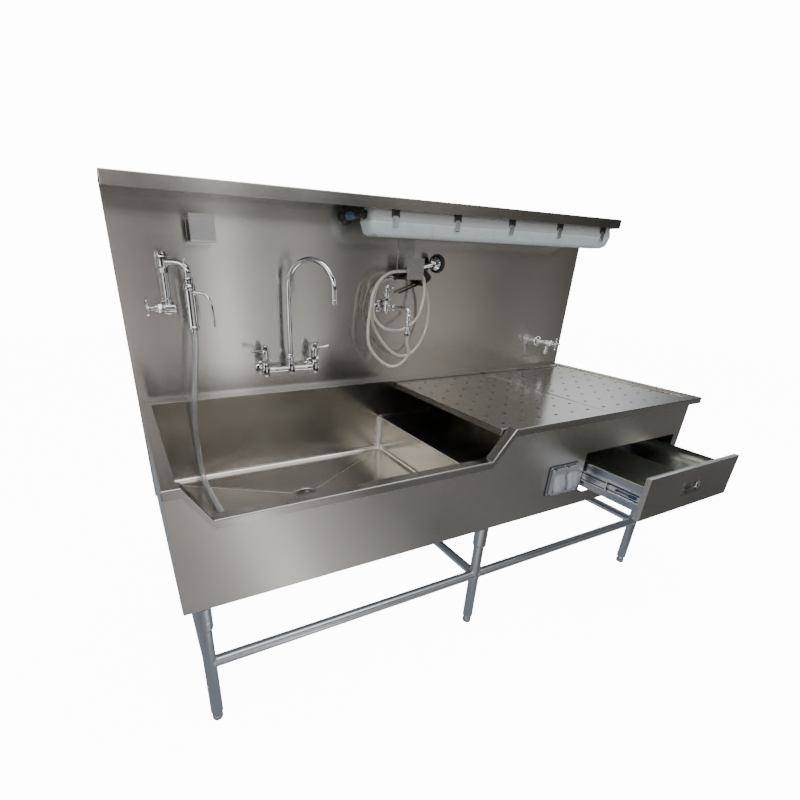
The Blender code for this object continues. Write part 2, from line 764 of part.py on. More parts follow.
def build_shell():
    """Apron, end panels, backsplash and shelf."""
    plan = [
        (APRON_LEFT, DEPTH - GAP),
        (APRON_LEFT, APRON_FACE),
        (APRON_RIGHT, APRON_FACE),
        (APRON_RIGHT, DEPTH - GAP),
    ]
    section = plan + offset_line(plan, -SHEET)[::-1]
    apron = part("front_apron", "satin_steel", prism_shape(section, 2, APRON_BOTTOM, UNDER_RIM))
    cut(apron, dip_cutter(2 * GAP))
    flange_low = (APRON_LEFT + SHEET / 2, APRON_FACE + SHEET / 2, APRON_BOTTOM)
    flange_high = (APRON_RIGHT - SHEET / 2, APRON_FACE + APRON_FLANGE, APRON_BOTTOM + SHEET)
    join(apron, box_shape(flange_low, flange_high))
    join(apron, *[socket_shape(x, LEG_Y[0]) for x in LEG_X])
    cut(
        apron,
        box_shape((DRAWER_LEFT, 0.0, DRAWER_BOTTOM), (DRAWER_RIGHT, 0.06, DRAWER_TOP)),
        box_shape(
            (OUTLET_X - OUTLET_BOX_WIDTH / 2 - 0.0015, 0.0, OUTLET_Z - OUTLET_BOX_HEIGHT / 2 - 0.0015),
            (OUTLET_X + OUTLET_BOX_WIDTH / 2 + 0.0015, 0.06, OUTLET_Z + OUTLET_BOX_HEIGHT / 2 + 0.0015),
        ),
    )
    profile = [
        (SPLASH_HEM, WALL_BACK),
        (0.0, WALL_BACK),
        (0.0, DEPTH),
        (LENGTH, DEPTH),
        (LENGTH, WALL_BACK),
        (LENGTH - SPLASH_HEM, WALL_BACK),
    ]
    section = profile + offset_line(profile, -SHEET)[::-1]
    splash_top = SHELF_UNDER - GAP
    splash = part("backsplash", "satin_steel", prism_shape(section, 2, APRON_BOTTOM, splash_top))
    inset = SHEET + 0.003
    flange_low = (APRON_LEFT + inset, DEPTH - APRON_FLANGE, APRON_BOTTOM)
    flange_high = (APRON_RIGHT - inset, DEPTH + SHEET / 2, APRON_BOTTOM + SHEET)
    join(splash, box_shape(flange_low, flange_high))
    join(splash, *[socket_shape(x, LEG_Y[1]) for x in LEG_X])
    holes = []
    for x, z in shank_places():
        holes.append(rod_shape((x, DEPTH - 0.01, z), (x, DEPTH + 0.01, z), SHANK_RADIUS + SHANK_EASE))
    cut(splash, gathered(holes))

    front = DEPTH - SHELF_DEPTH
    points = [
        (0.0, front, OVERALL_HEIGHT),
        (LENGTH, front, OVERALL_HEIGHT),
        (LENGTH, DEPTH - GAP, OVERALL_HEIGHT),
        (LENGTH, WALL_BACK, OVERALL_HEIGHT),
        (0.0, WALL_BACK, OVERALL_HEIGHT),
        (0.0, DEPTH - GAP, OVERALL_HEIGHT),
    ]
    shape = bmesh.new()
    tops = [shape.verts.new(point) for point in points]
    lips = [shape.verts.new((x, y, z - SHELF_LIP)) for x, y, z in points]
    shape.faces.new(tops)
    for index, after in ((0, 1), (1, 2), (5, 0)):
        shape.faces.new((lips[index], lips[after], tops[after], tops[index]))
    for index in (3, 4):
        shape.verts.remove(lips[index])
    shelf = part("overhead_shelf", "satin_steel", shape)
    bent(shelf, SHELF_BEND)
    sheet(shelf)


def socket_shape(x, y):
    """A leg socket, welded under a flange."""
    end = APRON_BOTTOM - SOCKET_LENGTH
    bore = LEG_RADIUS + GAP
    profile = [
        (0.0, APRON_BOTTOM + SHEET / 2),
        (SOCKET_RADIUS, APRON_BOTTOM + SHEET / 2),
        (SOCKET_RADIUS, end + 0.010),
        (SOCKET_RADIUS - 0.0015, end),
        (bore, end),
        (bore, APRON_BOTTOM - SOCKET_ROOF),
        (0.0, APRON_BOTTOM - SOCKET_ROOF),
    ]
    return turned_shape(profile, (x, y, 0), sides=LEG_SIDES)


def shank_places():
    """Where the taps pass through the backsplash."""
    half = FAUCET_CENTRES / 2
    return (
        (FAUCET_X - half, FAUCET_Z),
        (FAUCET_X + half, FAUCET_Z),
        (ASPIRATOR_X, ASPIRATOR_Z),
        (SPRAY_X, SPRAY_Z),
        (SPIGOT_X, SPIGOT_Z),
    )


def hole_grid(low, high):
    """Centres of an even grid of holes inside a rectangle."""
    margin = PANEL_PITCH / 2
    rows = []
    for first, last in zip(low, high):
        count = max(2, int((last - first - 2 * margin) / PANEL_PITCH + 1.5))
        step = (last - first - 2 * margin) / (count - 1)
        rows.append([first + margin + step * index for index in range(count)])
    return [(x, y) for x in rows[0] for y in rows[1]]


def build_worktop():
    """Lift-out perforated panels on their ledges."""
    seam = PANEL_SEAM_GAP / 2
    spans = (
        ("worktop_panel_left", PANEL_LEFT, PANEL_SEAM - seam),
        ("worktop_panel_right", PANEL_SEAM + seam, PANEL_RIGHT),
    )
    for name, left, right in spans:
        shape = box_shape((left, PANEL_FRONT, PANEL_TOP - PANEL_FLANGE), (right, PANEL_BACK, PANEL_TOP))
        under = [face for face in shape.faces if face.normal.z < -0.5]
        bmesh.ops.delete(shape, geom=under, context="FACES_ONLY")
        panel = part(name, "satin_steel", shape, ((left + right) / 2, (PANEL_FRONT + PANEL_BACK) / 2, PANEL_TOP))
        bent(panel, PANEL_BEND)
        sheet(panel)
        drills = []
        for x, y in hole_grid((left, PANEL_FRONT), (right, PANEL_BACK)):
            drills.append(rod_shape((x, y, PANEL_TOP - 0.008), (x, y, PANEL_TOP + 0.004), PANEL_HOLE, sides=6))
        cut(panel, gathered(drills))
        notch = rod_shape(
            (PANEL_SEAM, PANEL_BACK, PANEL_TOP - 0.012),
            (PANEL_SEAM, PANEL_BACK, PANEL_TOP + 0.010),
            NOTCH_RADIUS,
        )
        cut(panel, notch)


def build_stand():
    """Sockets, legs, rails and levelling feet."""
    spots = [(x, y) for y in LEG_Y for x in LEG_X]
    leg_top = APRON_BOTTOM - SOCKET_ROOF - GAP
    leg = [
        (0.0, leg_top),
        (LEG_RADIUS, leg_top),
        (LEG_RADIUS, FOOT_HEIGHT),
        (STEM_RADIUS + GAP, FOOT_HEIGHT),
        (STEM_RADIUS + GAP, FOOT_HEIGHT + STEM_LENGTH + 0.005),
        (0.0, FOOT_HEIGHT + STEM_LENGTH + 0.005),
    ]
    legs = gathered([turned_shape(leg, (x, y, 0), sides=LEG_SIDES) for x, y in spots])
    frame = part("leg_frame", "leg_steel", legs)
    for x in LEG_X:
        join(frame, rod_shape((x, LEG_Y[0], RAIL_HEIGHT), (x, LEG_Y[1], RAIL_HEIGHT), RAIL_RADIUS))
    for left, right in zip(LEG_X, LEG_X[1:]):
        join(frame, rod_shape((left, LEG_Y[0], RAIL_HEIGHT), (right, LEG_Y[0], RAIL_HEIGHT), RAIL_RADIUS))

    foot = [
        (0.0, 0.0),
        (FOOT_RADIUS - 0.0025, 0.0),
        (FOOT_RADIUS, 0.0025),
        (FOOT_RADIUS, FOOT_HEIGHT - 0.009),
        (FOOT_RADIUS - 0.004, FOOT_HEIGHT - 0.002),
        (STEM_RADIUS + 0.003, FOOT_HEIGHT - GAP),
        (STEM_RADIUS, FOOT_HEIGHT - GAP),
        (STEM_RADIUS, FOOT_HEIGHT + STEM_LENGTH),
        (0.0, FOOT_HEIGHT + STEM_LENGTH),
    ]
    rows = [row + side for row in ("foot_front_", "foot_rear_") for side in ("left", "middle", "right")]
    for name, (x, y) in zip(rows, spots):
        part(name, "leg_steel", turned_shape(foot, (x, y, 0)), (x, y, 0))


def build_drain():
    """Drain cup with its tailpiece, and the lift-out strainer."""
    seat = DRAIN_Z + GAP
    cup = DRAIN_HOLE - 0.003
    body = [
        (DRAIN_SEAT - 0.002, seat),
        (DRAIN_SEAT - 0.002, seat + 0.0012),
        (DRAIN_SEAT - 0.005, seat + 0.0025),
        (cup - 0.003, seat + 0.0025),
        (cup - 0.003, seat - 0.010),
        (cup - 0.008, seat - 0.010),
        (cup - 0.008, seat - 0.022),
        (TAIL_BORE, seat - 0.038),
        (TAIL_BORE, TAIL_END),
        (TAIL_RADIUS, TAIL_END),
        (TAIL_RADIUS, seat - 0.042),
        (cup, seat - 0.026),
        (cup, seat),
    ]
    part("drain_body", "polished_chrome", turned_shape(body, (DRAIN_X, DRAIN_Y, 0), sides=18))
    rest = seat - 0.010 + GAP
    disc = [
        (0.0, rest),
        (cup - 0.0045, rest),
        (cup - 0.0045, rest + 0.0025),
        (0.0045, rest + 0.0025),
        (0.0045, rest + 0.014),
        (0.0085, rest + 0.016),
        (0.0085, rest + 0.020),
        (0.0055, rest + 0.022),
        (0.0, rest + 0.022),
    ]
    origin = (DRAIN_X, DRAIN_Y, rest)
    strainer = part("drain_strainer", "polished_chrome", turned_shape(disc, (DRAIN_X, DRAIN_Y, 0), sides=18), origin)
    drills = []
    for index in range(8):
        angle = math.radians(45 * index)
        x = DRAIN_X + 0.022 * math.cos(angle)
        y = DRAIN_Y + 0.022 * math.sin(angle)
        drills.append(rod_shape((x, y, rest - 0.005), (x, y, rest + 0.008), 0.0045, sides=6))
    cut(strainer, gathered(drills))


def channel(origin, way, web, tip, half):
    """A C section across Y: web and tip are distances from the origin, flanges at plus and minus half."""
    turn = math.copysign(SLIDE_STEEL, tip - web)
    points = [
        (web, -half),
        (tip, -half),
        (tip, -half + SLIDE_STEEL),
        (web + turn, -half + SLIDE_STEEL),
        (web + turn, half - SLIDE_STEEL),
        (tip, half - SLIDE_STEEL),
        (tip, half),
        (web, half),
    ]
    return [(origin + way * x, SLIDE_Z + z) for x, z in points]


def build_drawer():
    """Drawer front, box, divider, recessed pull, slides and hangers."""
    sides = (("left", DRAWER_LEFT, 1), ("right", DRAWER_RIGHT, -1))
    for side, edge, way in sides:
        out = edge - way * (SHEET + HANGER_FLANGE)
        roof = min(pan_floor(edge), pan_floor(out)) - SHEET - GAP
        section = [
            (edge, DRAWER_BOTTOM - 0.004),
            (edge, roof),
            (out, roof),
            (out, roof - SHEET),
            (edge - way * SHEET, roof - SHEET),
            (edge - way * SHEET, DRAWER_BOTTOM - 0.004),
        ]
        hanger = prism_shape(section, 1, APRON_BACK + GAP, APRON_BACK + HANGER_REACH)
        part("drawer_hanger_" + side, "satin_steel", hanger)

    stages = (
        ("slide_outer", 0.0, 0.0095, SLIDE_HALF, 0.0),
        ("slide_middle", 0.0025, 0.0110, SLIDE_HALF - 0.0017, DRAWER_OUT / 2),
        ("slide_inner", SLIDE_THICK, 0.0050, SLIDE_HALF - 0.0035, DRAWER_OUT),
    )
    for name, web, tip, half, travel in stages:
        for side, edge, way in sides:
            section = channel(edge + way * GAP, way, web, tip, half)
            start = SLIDE_START - travel
            member = prism_shape(section, 1, start, start + SLIDE_LENGTH)
            part(name + "_" + side, "zinc_plate", member, (edge, start, SLIDE_Z))

    low = (DRAWER_LEFT + DRAWER_EASE, FACE_Y, DRAWER_BOTTOM + DRAWER_EASE)
    high = (DRAWER_RIGHT - DRAWER_EASE, FACE_Y + FRONT_THICK, DRAWER_TOP - DRAWER_EASE)
    origin = (DRAWER_X, FACE_Y, DRAWER_Z)
    front = part("drawer_front", "satin_steel", box_shape(low, high), origin)
    bent(front, 0.0012)
    half_width = POCKET_WIDTH / 2 + CUP_STEEL + GAP
    half_height = POCKET_HEIGHT / 2 + CUP_STEEL + GAP
    recess_low = (DRAWER_X - half_width, FACE_Y - 0.01, DRAWER_Z - half_height)
    recess_high = (DRAWER_X + half_width, FACE_Y + POCKET_DEPTH + CUP_STEEL + 0.001, DRAWER_Z + half_height)
    cut(front, box_shape(recess_low, recess_high))

    play = GAP + SLIDE_THICK + GAP + BOX_SHEET
    inside_left = DRAWER_LEFT + play
    inside_right = DRAWER_RIGHT - play
    inside_front = FACE_Y + FRONT_THICK + GAP + BOX_SHEET
    inside_back = inside_front + BOX_DEPTH - 2 * BOX_SHEET
    floor = BOX_BOTTOM + BOX_SHEET
    rings = []
    for z in (BOX_TOP, floor):
        rings.append(corner_ring((inside_left, inside_front), (inside_right, inside_back), 0.004, z, 2))
    box = part("drawer_box", "satin_steel", loft_shape(rings, cap_last=True), origin)
    sheet(box, BOX_SHEET)
    half = BOX_SHEET / 2
    low = (DIVIDER_X - half, inside_front - half, floor - half)
    high = (DIVIDER_X + half, inside_back + half, DIVIDER_TOP)
    join(box, box_shape(low, high))

    lift = GAP + CUP_STEEL
    pocket_low = (-POCKET_WIDTH / 2, -POCKET_HEIGHT / 2)
    pocket_high = (POCKET_WIDTH / 2, POCKET_HEIGHT / 2)
    rings = [
        corner_ring((-CUP_WIDTH / 2, -CUP_HEIGHT / 2), (CUP_WIDTH / 2, CUP_HEIGHT / 2), 0.010, lift),
        corner_ring(pocket_low, pocket_high, 0.006, lift),
        corner_ring(pocket_low, pocket_high, 0.006, lift - POCKET_DEPTH),
    ]
    face = Matrix.Translation((DRAWER_X, FACE_Y, DRAWER_Z)) @ Matrix.Rotation(math.radians(90), 4, "X")
    cup = part("pull_cup", "polished_chrome", moved(loft_shape(rings, cap_last=True), face), origin)
    sheet(cup, CUP_STEEL)
    arm = POCKET_WIDTH / 2 - 0.008
    pivot = (DRAWER_X, FACE_Y + 0.0045, DRAWER_Z + BAIL_DROP / 2)
    line = [
        (-POCKET_WIDTH / 2 + 0.0006, 0.0),
        (-arm, 0.0),
        (-arm, -BAIL_DROP),
        (arm, -BAIL_DROP),
        (arm, 0.0),
        (POCKET_WIDTH / 2 - 0.0006, 0.0),
    ]
    path = [(DRAWER_X + x, pivot[1], pivot[2] + z) for x, z in rounded_line(line, 0.0045, 3)]
    part("pull_bail", "polished_chrome", pipe_shape(path, BAIL_RADIUS, 2), pivot)


def build_outlet():
    """Two-gang outlet: box with its receptacles, cover and spring lids."""
    wall = 0.0015
    half_width = OUTLET_BOX_WIDTH / 2 - wall
    half_height = OUTLET_BOX_HEIGHT / 2 - wall
    rings = []
    for depth in (0.0, -OUTLET_BOX_DEPTH):
        rings.append(corner_ring((-half_width, -half_height), (half_width, half_height), 0.004, depth, 2))
    mouth = APRON_FACE + GAP
    face = Matrix.Translation((OUTLET_X, mouth, OUTLET_Z)) @ Matrix.Rotation(math.radians(90), 4, "X")
    box = part("outlet_box", "zinc_plate", moved(loft_shape(rings, cap_last=True), face))
    sheet(box, wall)

    cover_back = APRON_FACE - GAP
    cover_front = cover_back - COVER_THICK
    low = (OUTLET_X - COVER_WIDTH / 2, cover_front, OUTLET_Z - COVER_HEIGHT / 2)
    high = (OUTLET_X + COVER_WIDTH / 2, cover_back, OUTLET_Z + COVER_HEIGHT / 2)
    cover = part("outlet_cover", "cast_grey", box_shape(low, high))
    bent(cover, 0.0025)
    slots = []
    for side in (-1, 1):
        middle = OUTLET_X + side * LID_PITCH / 2
        low = (middle - WINDOW_WIDTH / 2, cover_front - 0.01, OUTLET_Z - WINDOW_HEIGHT / 2)
        high = (middle + WINDOW_WIDTH / 2, cover_back + 0.01, OUTLET_Z + WINDOW_HEIGHT / 2)
        cut(cover, box_shape(low, high))
        block = WINDOW_WIDTH / 2 - 0.001
        tall = WINDOW_HEIGHT / 2 - 0.001
        face_y = cover_front + 0.0015
        rear = mouth + OUTLET_BOX_DEPTH + wall / 2
        join(box, box_shape((middle - block, face_y, OUTLET_Z - tall), (middle + block, rear, OUTLET_Z + tall)))
        for rise in (-0.0165, 0.0195):
            for shift, height in ((-0.0065, 0.0045), (0.0065, 0.0035)):
                low = (middle + shift - 0.0013, face_y - 0.01, OUTLET_Z + rise - height)
                high = (middle + shift + 0.0013, face_y + 0.012, OUTLET_Z + rise + height)
                slots.append(box_shape(low, high))
            base = (middle, face_y - 0.01, OUTLET_Z + rise - 0.011)
            tip = (middle, face_y + 0.012, OUTLET_Z + rise - 0.011)
            slots.append(rod_shape(base, tip, 0.0024, sides=8))
    cut(box, gathered(slots))

    knuckle = 0.0042
    hinge_y = cover_front - GAP - knuckle
    hinge_z = OUTLET_Z + LID_HINGE_RISE
    drop = COVER_HEIGHT / 2 + LID_HINGE_RISE - 0.008
    profile = [
        (knuckle, -0.0005),
        (0.0030, 0.0030),
        (0.0, knuckle),
        (-0.0034, 0.0030),
        (-0.0098, -0.0040),
        (-0.0098, -drop + 0.008),
        (-0.0150, -drop + 0.002),
        (-0.0135, -drop),
        (-0.0040, -drop + 0.003),
        (knuckle, -drop + 0.003),
    ]
    for name, side in (("outlet_lid_left", -1), ("outlet_lid_right", 1)):
        middle = OUTLET_X + side * LID_PITCH / 2
        line = [(hinge_y + y, hinge_z + z) for y, z in profile]
        lid = prism_shape(line, 0, middle - LID_WIDTH / 2, middle + LID_WIDTH / 2)
        bent(part(name, "cast_grey", lid, (middle, hinge_y, hinge_z)), 0.0012, 1)


def shank_shape(x, z, flange, neck, reach):
    """A tap's wall connection: lock nut behind the backsplash, flange and neck before it."""
    profile = [
        (0.0, -SHANK_END),
        (SHANK_RADIUS, -SHANK_END),
        (SHANK_RADIUS, -SHEET - 0.0095),
        (SHANK_RADIUS + 0.0065, -SHEET - 0.0095),
        (SHANK_RADIUS + 0.0065, -SHEET - GAP),
        (SHANK_RADIUS, -SHEET - GAP),
        (SHANK_RADIUS, GAP),
        (flange, GAP),
        (flange, 0.0035),
        (flange * 0.72, 0.0085),
        (neck, 0.0100),
        (neck, reach),
        (0.0, reach),
    ]
    return turned_shape(profile, (x, DEPTH, z), (0, -1, 0))


def cross_handle(name, base, axis, stem, span):
    """A four-arm handle on its stem, turning about the stem's axis."""
    axis = Vector(axis)
    base = Vector(base)
    hub = [
        (0.0, 0.0),
        (0.0070, 0.0),
        (0.0070, stem - 0.006),
        (0.0105, stem - 0.005),
        (0.0105, stem + 0.005),
        (0.0070, stem + 0.008),
        (0.0, stem + 0.008),
    ]
    handle = part(name, "polished_chrome", turned_shape(hub, base, axis), base)
    middle = base + axis * stem
    across = axis.orthogonal().normalized()
    for quarter in range(4):
        way = Matrix.Rotation(math.radians(45 + 90 * quarter), 3, axis) @ across
        join(handle, rod_shape(middle + way * 0.004, middle + way * span, 0.0034, 0.0052, 10))
    return handle


def build_faucet():
    """Wall faucet with two levers and a swivelling gooseneck."""
    half = FAUCET_CENTRES / 2
    left = FAUCET_X - half
    right = FAUCET_X + half
    body = part("faucet_body", "polished_chrome", shank_shape(left, FAUCET_Z, 0.028, 0.0115, FAUCET_REACH))
    join(body, shank_shape(right, FAUCET_Z, 0.028, 0.0115, FAUCET_REACH))
    join(body, rod_shape((left, FAUCET_Y, FAUCET_Z), (right, FAUCET_Y, FAUCET_Z), 0.0105))
    valve = [
        (0.0, -0.024),
        (0.0100, -0.024),
        (0.0140, -0.019),
        (0.0158, -0.010),
        (0.0158, 0.020),
        (0.0130, 0.028),
        (0.0130, 0.050),
        (0.0148, 0.052),
        (0.0148, 0.0597),
        (0.0, 0.0597),
    ]
    for x in (left, right):
        join(body, turned_shape(valve, (x, FAUCET_Y, FAUCET_Z)))
    hub = [
        (0.0, -0.018),
        (0.0120, -0.018),
        (0.0165, -0.012),
        (0.0165, 0.012),
        (0.0145, 0.019),
        (0.0145, 0.0257),
        (0.0, 0.0257),
    ]
    join(body, turned_shape(hub, (FAUCET_X, FAUCET_Y, FAUCET_Z)))

    collar_z = FAUCET_Z + 0.0260
    collar = [
        (0.0, 0.0),
        (0.0145, 0.0),
        (0.0155, 0.003),
        (0.0155, 0.020),
        (0.0125, 0.027),
        (0.0108, 0.036),
        (0.0, 0.036),
    ]
    origin = (FAUCET_X, FAUCET_Y, collar_z)
    spout = part("gooseneck_spout", "polished_chrome", turned_shape(collar, origin), origin)
    heading = math.radians(SPOUT_HEADING)
    radius = SPOUT_SPREAD / 2
    path = [(0.0, collar_z + 0.012)]
    for step in range(17):
        angle = math.radians(180 - 180 * step / 16)
        path.append((radius + radius * math.cos(angle), SPOUT_ARC_Z + radius * math.sin(angle)))
    path.append((SPOUT_SPREAD, SPOUT_TIP_Z))
    bend = []
    for out, z in path:
        bend.append((FAUCET_X + out * math.cos(heading), FAUCET_Y + out * math.sin(heading), z))
    join(spout, pipe_shape(bend, SPOUT_RADIUS, 5))
    tip = Vector(bend[-1])
    aerator = [
        (0.0, -0.004),
        (SPOUT_RADIUS + 0.0006, -0.004),
        (SPOUT_RADIUS + 0.0014, -0.002),
        (SPOUT_RADIUS + 0.0014, 0.010),
        (SPOUT_RADIUS - 0.002, 0.013),
        (0.0, 0.013),
    ]
    join(spout, turned_shape(aerator, tip))

    lever_z = FAUCET_Z + 0.0600
    lever_hub = [
        (0.0, 0.0),
        (0.0150, 0.0),
        (0.0162, 0.003),
        (0.0162, 0.014),
        (0.0125, 0.022),
        (0.0090, 0.031),
        (0.0, 0.034),
    ]
    for name, x, angle in (("faucet_lever_left", left, 205), ("faucet_lever_right", right, 0)):
        origin = Vector((x, FAUCET_Y, lever_z))
        lever = part(name, "polished_chrome", turned_shape(lever_hub, origin), origin)
        way = Vector((math.cos(math.radians(angle)), math.sin(math.radians(angle)), 0))
        near = origin + Vector((0, 0, 0.012)) + way * 0.006
        far = origin + Vector((0, 0, 0.019)) + way * LEVER_ARM
        join(lever, rod_shape(near, far, 0.0052, 0.0072, 12))


def build_aspirator():
    """Hydro-aspirator: valve with riser, cross handle, ejector body and suction nozzle."""
    y = DEPTH - ASPIRATOR_REACH
    centre = Vector((ASPIRATOR_X, y, ASPIRATOR_Z))
    body = part(
        "aspirator_valve_body",
        "polished_chrome",
        shank_shape(ASPIRATOR_X, ASPIRATOR_Z, 0.026, 0.0115, ASPIRATOR_REACH),
    )
    barrel = [
        (0.0, 0.0),
        (0.0115, 0.0),
        (0.0155, 0.004),
        (0.0155, 0.044),
        (0.0120, 0.049),
        (0.0120, 0.062),
        (0.0140, 0.064),
        (0.0140, 0.0720),
        (0.0, 0.0720),
    ]
    join(body, turned_shape(barrel, centre + Vector((0.027, 0, 0)), (-1, 0, 0)))
    riser_top = EJECTOR_TOP + 0.055
    join(body, rod_shape(centre, (ASPIRATOR_X, y, riser_top), 0.011))
    cap = [
        (0.0, -0.016),
        (0.0140, -0.016),
        (0.0170, -0.011),
        (0.0170, 0.018),
        (0.0135, 0.030),
        (0.0065, 0.036),
        (0.0, 0.036),
    ]
    join(body, turned_shape(cap, (ASPIRATOR_X, y, riser_top)))
    aim = Vector((EJECTOR_X - ASPIRATOR_X, EJECTOR_Y - y, 0))
    bridge = riser_top + 0.002
    bow = [
        (ASPIRATOR_X + 0.006, y - 0.005, bridge),
        (ASPIRATOR_X + aim.x * 0.55, y + aim.y * 0.55, bridge),
        (ASPIRATOR_X + aim.x * 0.80, y + aim.y * 0.80, bridge - 0.004),
        (ASPIRATOR_X + aim.x * 0.94, y + aim.y * 0.94, bridge - 0.013),
        (EJECTOR_X, EJECTOR_Y, bridge - 0.027),
        (EJECTOR_X, EJECTOR_Y, EJECTOR_TOP + GAP),
    ]
    join(body, pipe_shape(bow, 0.0105, 4))
    pin = Vector(bow[2])
    join(body, rod_shape(pin, pin + Vector((0.014, -0.011, 0.017)), 0.0032, sides=8))

    base = centre + Vector((-0.0453, 0, 0))
    cross_handle("aspirator_handle", base, (-1, 0, 0), 0.021, 0.028)

    length = EJECTOR_TOP - EJECTOR_BOTTOM
    ejector = [
        (0.0, 0.0),
        (0.0125, 0.0),
        (0.0125, 0.010),
        (0.0195, 0.013),
        (0.0195, 0.019),
        (0.0165, 0.022),
        (0.0165, length - 0.024),
        (0.0190, length - 0.021),
        (0.0190, length - 0.013),
        (0.0140, length - 0.007),
        (0.0140, length - GAP),
        (0.0, length - GAP),
    ]
    tube = part("aspirator_body", "polished_chrome", turned_shape(ejector, (EJECTOR_X, EJECTOR_Y, EJECTOR_BOTTOM)))
    level = EJECTOR_TOP - 0.033
    way = Vector((0.81, -0.585, 0)).normalized()
    reach = (
        (0.008, 0.0),
        (0.040, 0.001),
        (0.058, -0.008),
        (0.068, -0.024),
        (0.073, -0.046),
        (0.0755, -0.075),
        (0.0765, -0.105),
    )
    nozzle = []
    for out, rise in reach:
        nozzle.append((EJECTOR_X + way.x * out, EJECTOR_Y + way.y * out, level + rise))
    join(tube, pipe_shape(nozzle, 0.0045, 3))


def build_spray():
    """Spray station: valve, arm, drop, handle, gun with its lever, and the hose."""
    y = DEPTH - SPRAY_REACH
    body = part("spray_valve_body", "polished_chrome", shank_shape(SPRAY_X, SPRAY_Z, 0.026, 0.0105, SPRAY_REACH))
    stem = [
        (0.0, -0.025),
        (0.0100, -0.025),
        (0.0138, -0.019),
        (0.0138, 0.016),
        (0.0110, 0.021),
        (0.0110, 0.039),
        (0.0138, 0.042),
        (0.0138, 0.0495),
        (0.0, 0.0495),
    ]
    join(body, turned_shape(stem, (SPRAY_X, y, SPRAY_Z)))
    aim = Vector((DROP_X - SPRAY_X, DROP_Y - y, 0))
    arm = []
    for share, drop in ((0.0, 0.0), (0.80, 0.0), (0.92, 0.0025), (0.985, 0.0085), (1.0, 0.016), (1.0, 0.034)):
        arm.append((SPRAY_X + aim.x * share, y + aim.y * share, SPRAY_Z - drop))
    join(body, pipe_shape(arm, 0.0085, 4))
    top = SPRAY_Z - 0.022
    breaker = [
        (0.0, DROP_END),
        (0.0105, DROP_END),
        (0.0105, DROP_END + 0.040),
        (0.0070, DROP_END + 0.042),
        (0.0070, DROP_END + 0.050),
        (0.0120, DROP_END + 0.052),
        (0.0120, top - 0.004),
        (0.0088, top),
        (0.0, top),
    ]
    join(body, turned_shape(breaker, (DROP_X, DROP_Y, 0)))

    origin = Vector((SPRAY_X, y, SPRAY_Z + 0.0498))
    hub = [
        (0.0, 0.0),
        (0.0148, 0.0),
        (0.0148, 0.006),
        (0.0100, 0.009),
        (0.0100, 0.026),
        (0.0060, 0.034),
        (0.0, 0.036),
    ]
    handle = part("spray_valve_handle", "polished_chrome", turned_shape(hub, origin), origin)
    near = origin + Vector((0, -0.004, 0.018))
    join(handle, rod_shape(near, origin + Vector((0, -0.045, 0.026)), 0.0042, 0.0060, 10))

    tilt = math.radians(GUN_TILT)
    along = Vector((math.cos(tilt), 0, math.sin(tilt)))
    start = Vector(GUN_START)
    barrel = [
        (0.0, 0.0),
        (0.0080, 0.0),
        (0.0080, 0.028),
        (0.0115, 0.032),
        (0.0120, 0.040),
        (0.0120, 0.146),
        (0.0100, 0.152),
        (0.0100, 0.186),
        (0.0, 0.190),
    ]
    gun = part("spray_gun", "black_plastic", turned_shape(barrel, start, along))
    head = Vector(GUN_HEAD)
    aim = Vector(GUN_AIM).normalized()
    join(gun, rod_shape(start + along * 0.176, head - aim * 0.004, 0.0098, 0.0120))
    bell = [
        (0.0, -0.020),
        (0.0125, -0.020),
        (0.0255, -0.006),
        (0.0280, 0.001),
        (0.0280, 0.0148),
        (0.0240, 0.0155),
        (0.0210, 0.0120),
        (0.0, 0.0120),
    ]
    join(gun, turned_shape(bell, head, aim, sides=20))
    pivot = start + along * 0.190 + Vector((0.003, 0, -0.046))
    neck = start + along * 0.172
    cheek = [
        (neck.x - 0.010, neck.z - 0.003),
        (neck.x + 0.010, neck.z + 0.003),
        (pivot.x + 0.008, pivot.z + 0.004),
        (pivot.x + 0.006, pivot.z - 0.006),
        (pivot.x - 0.007, pivot.z - 0.005),
    ]
    for low, high in ((-0.0097, -0.0070), (0.0070, 0.0097)):
        join(gun, prism_shape(cheek, 1, start.y + low, start.y + high))
    ring = [
        (0.0286, 0.001),
        (0.0312, -0.004),
        (0.0346, -0.003),
        (0.0368, 0.004),
        (0.0360, 0.012),
        (0.0326, 0.0175),
        (0.0286, 0.0180),
    ]
    part("spray_bumper", "black_rubber", turned_shape(ring, head, aim, sides=20))
    reach = [(0.0045, 0.0015), (-0.038, -0.0265), (-0.120, -0.0560)]
    upper = [(pivot.x + x, pivot.z + z) for x, z in reach]
    lower = offset_line(upper, -0.0050)
    trigger = prism_shape(upper + lower[::-1], 1, start.y - 0.0064, start.y + 0.0064)
    bent(part("spray_lever", "black_plastic", trigger, pivot), 0.0010, 1)

    path = SPRAY_PATH + [tuple(start - along * 0.024), tuple(start - along * GAP)]
    hose = smooth_path(path, 2.4 * SPRAY_HOSE)
    tube_part("spray_hose", "braided_hose", hose, SPRAY_HOSE, 2)
    print("spray hose: least gap to itself %.2f mm" % (1000 * own_gap(hose, SPRAY_HOSE)))
    drain = smooth_path(DRAIN_PATH, 2.0 * DRAIN_HOSE)
    tube_part("discharge_hose", "clear_vinyl", drain, DRAIN_HOSE, 3)
    print("discharge hose: least gap to itself %.2f mm" % (1000 * own_gap(drain, DRAIN_HOSE)))


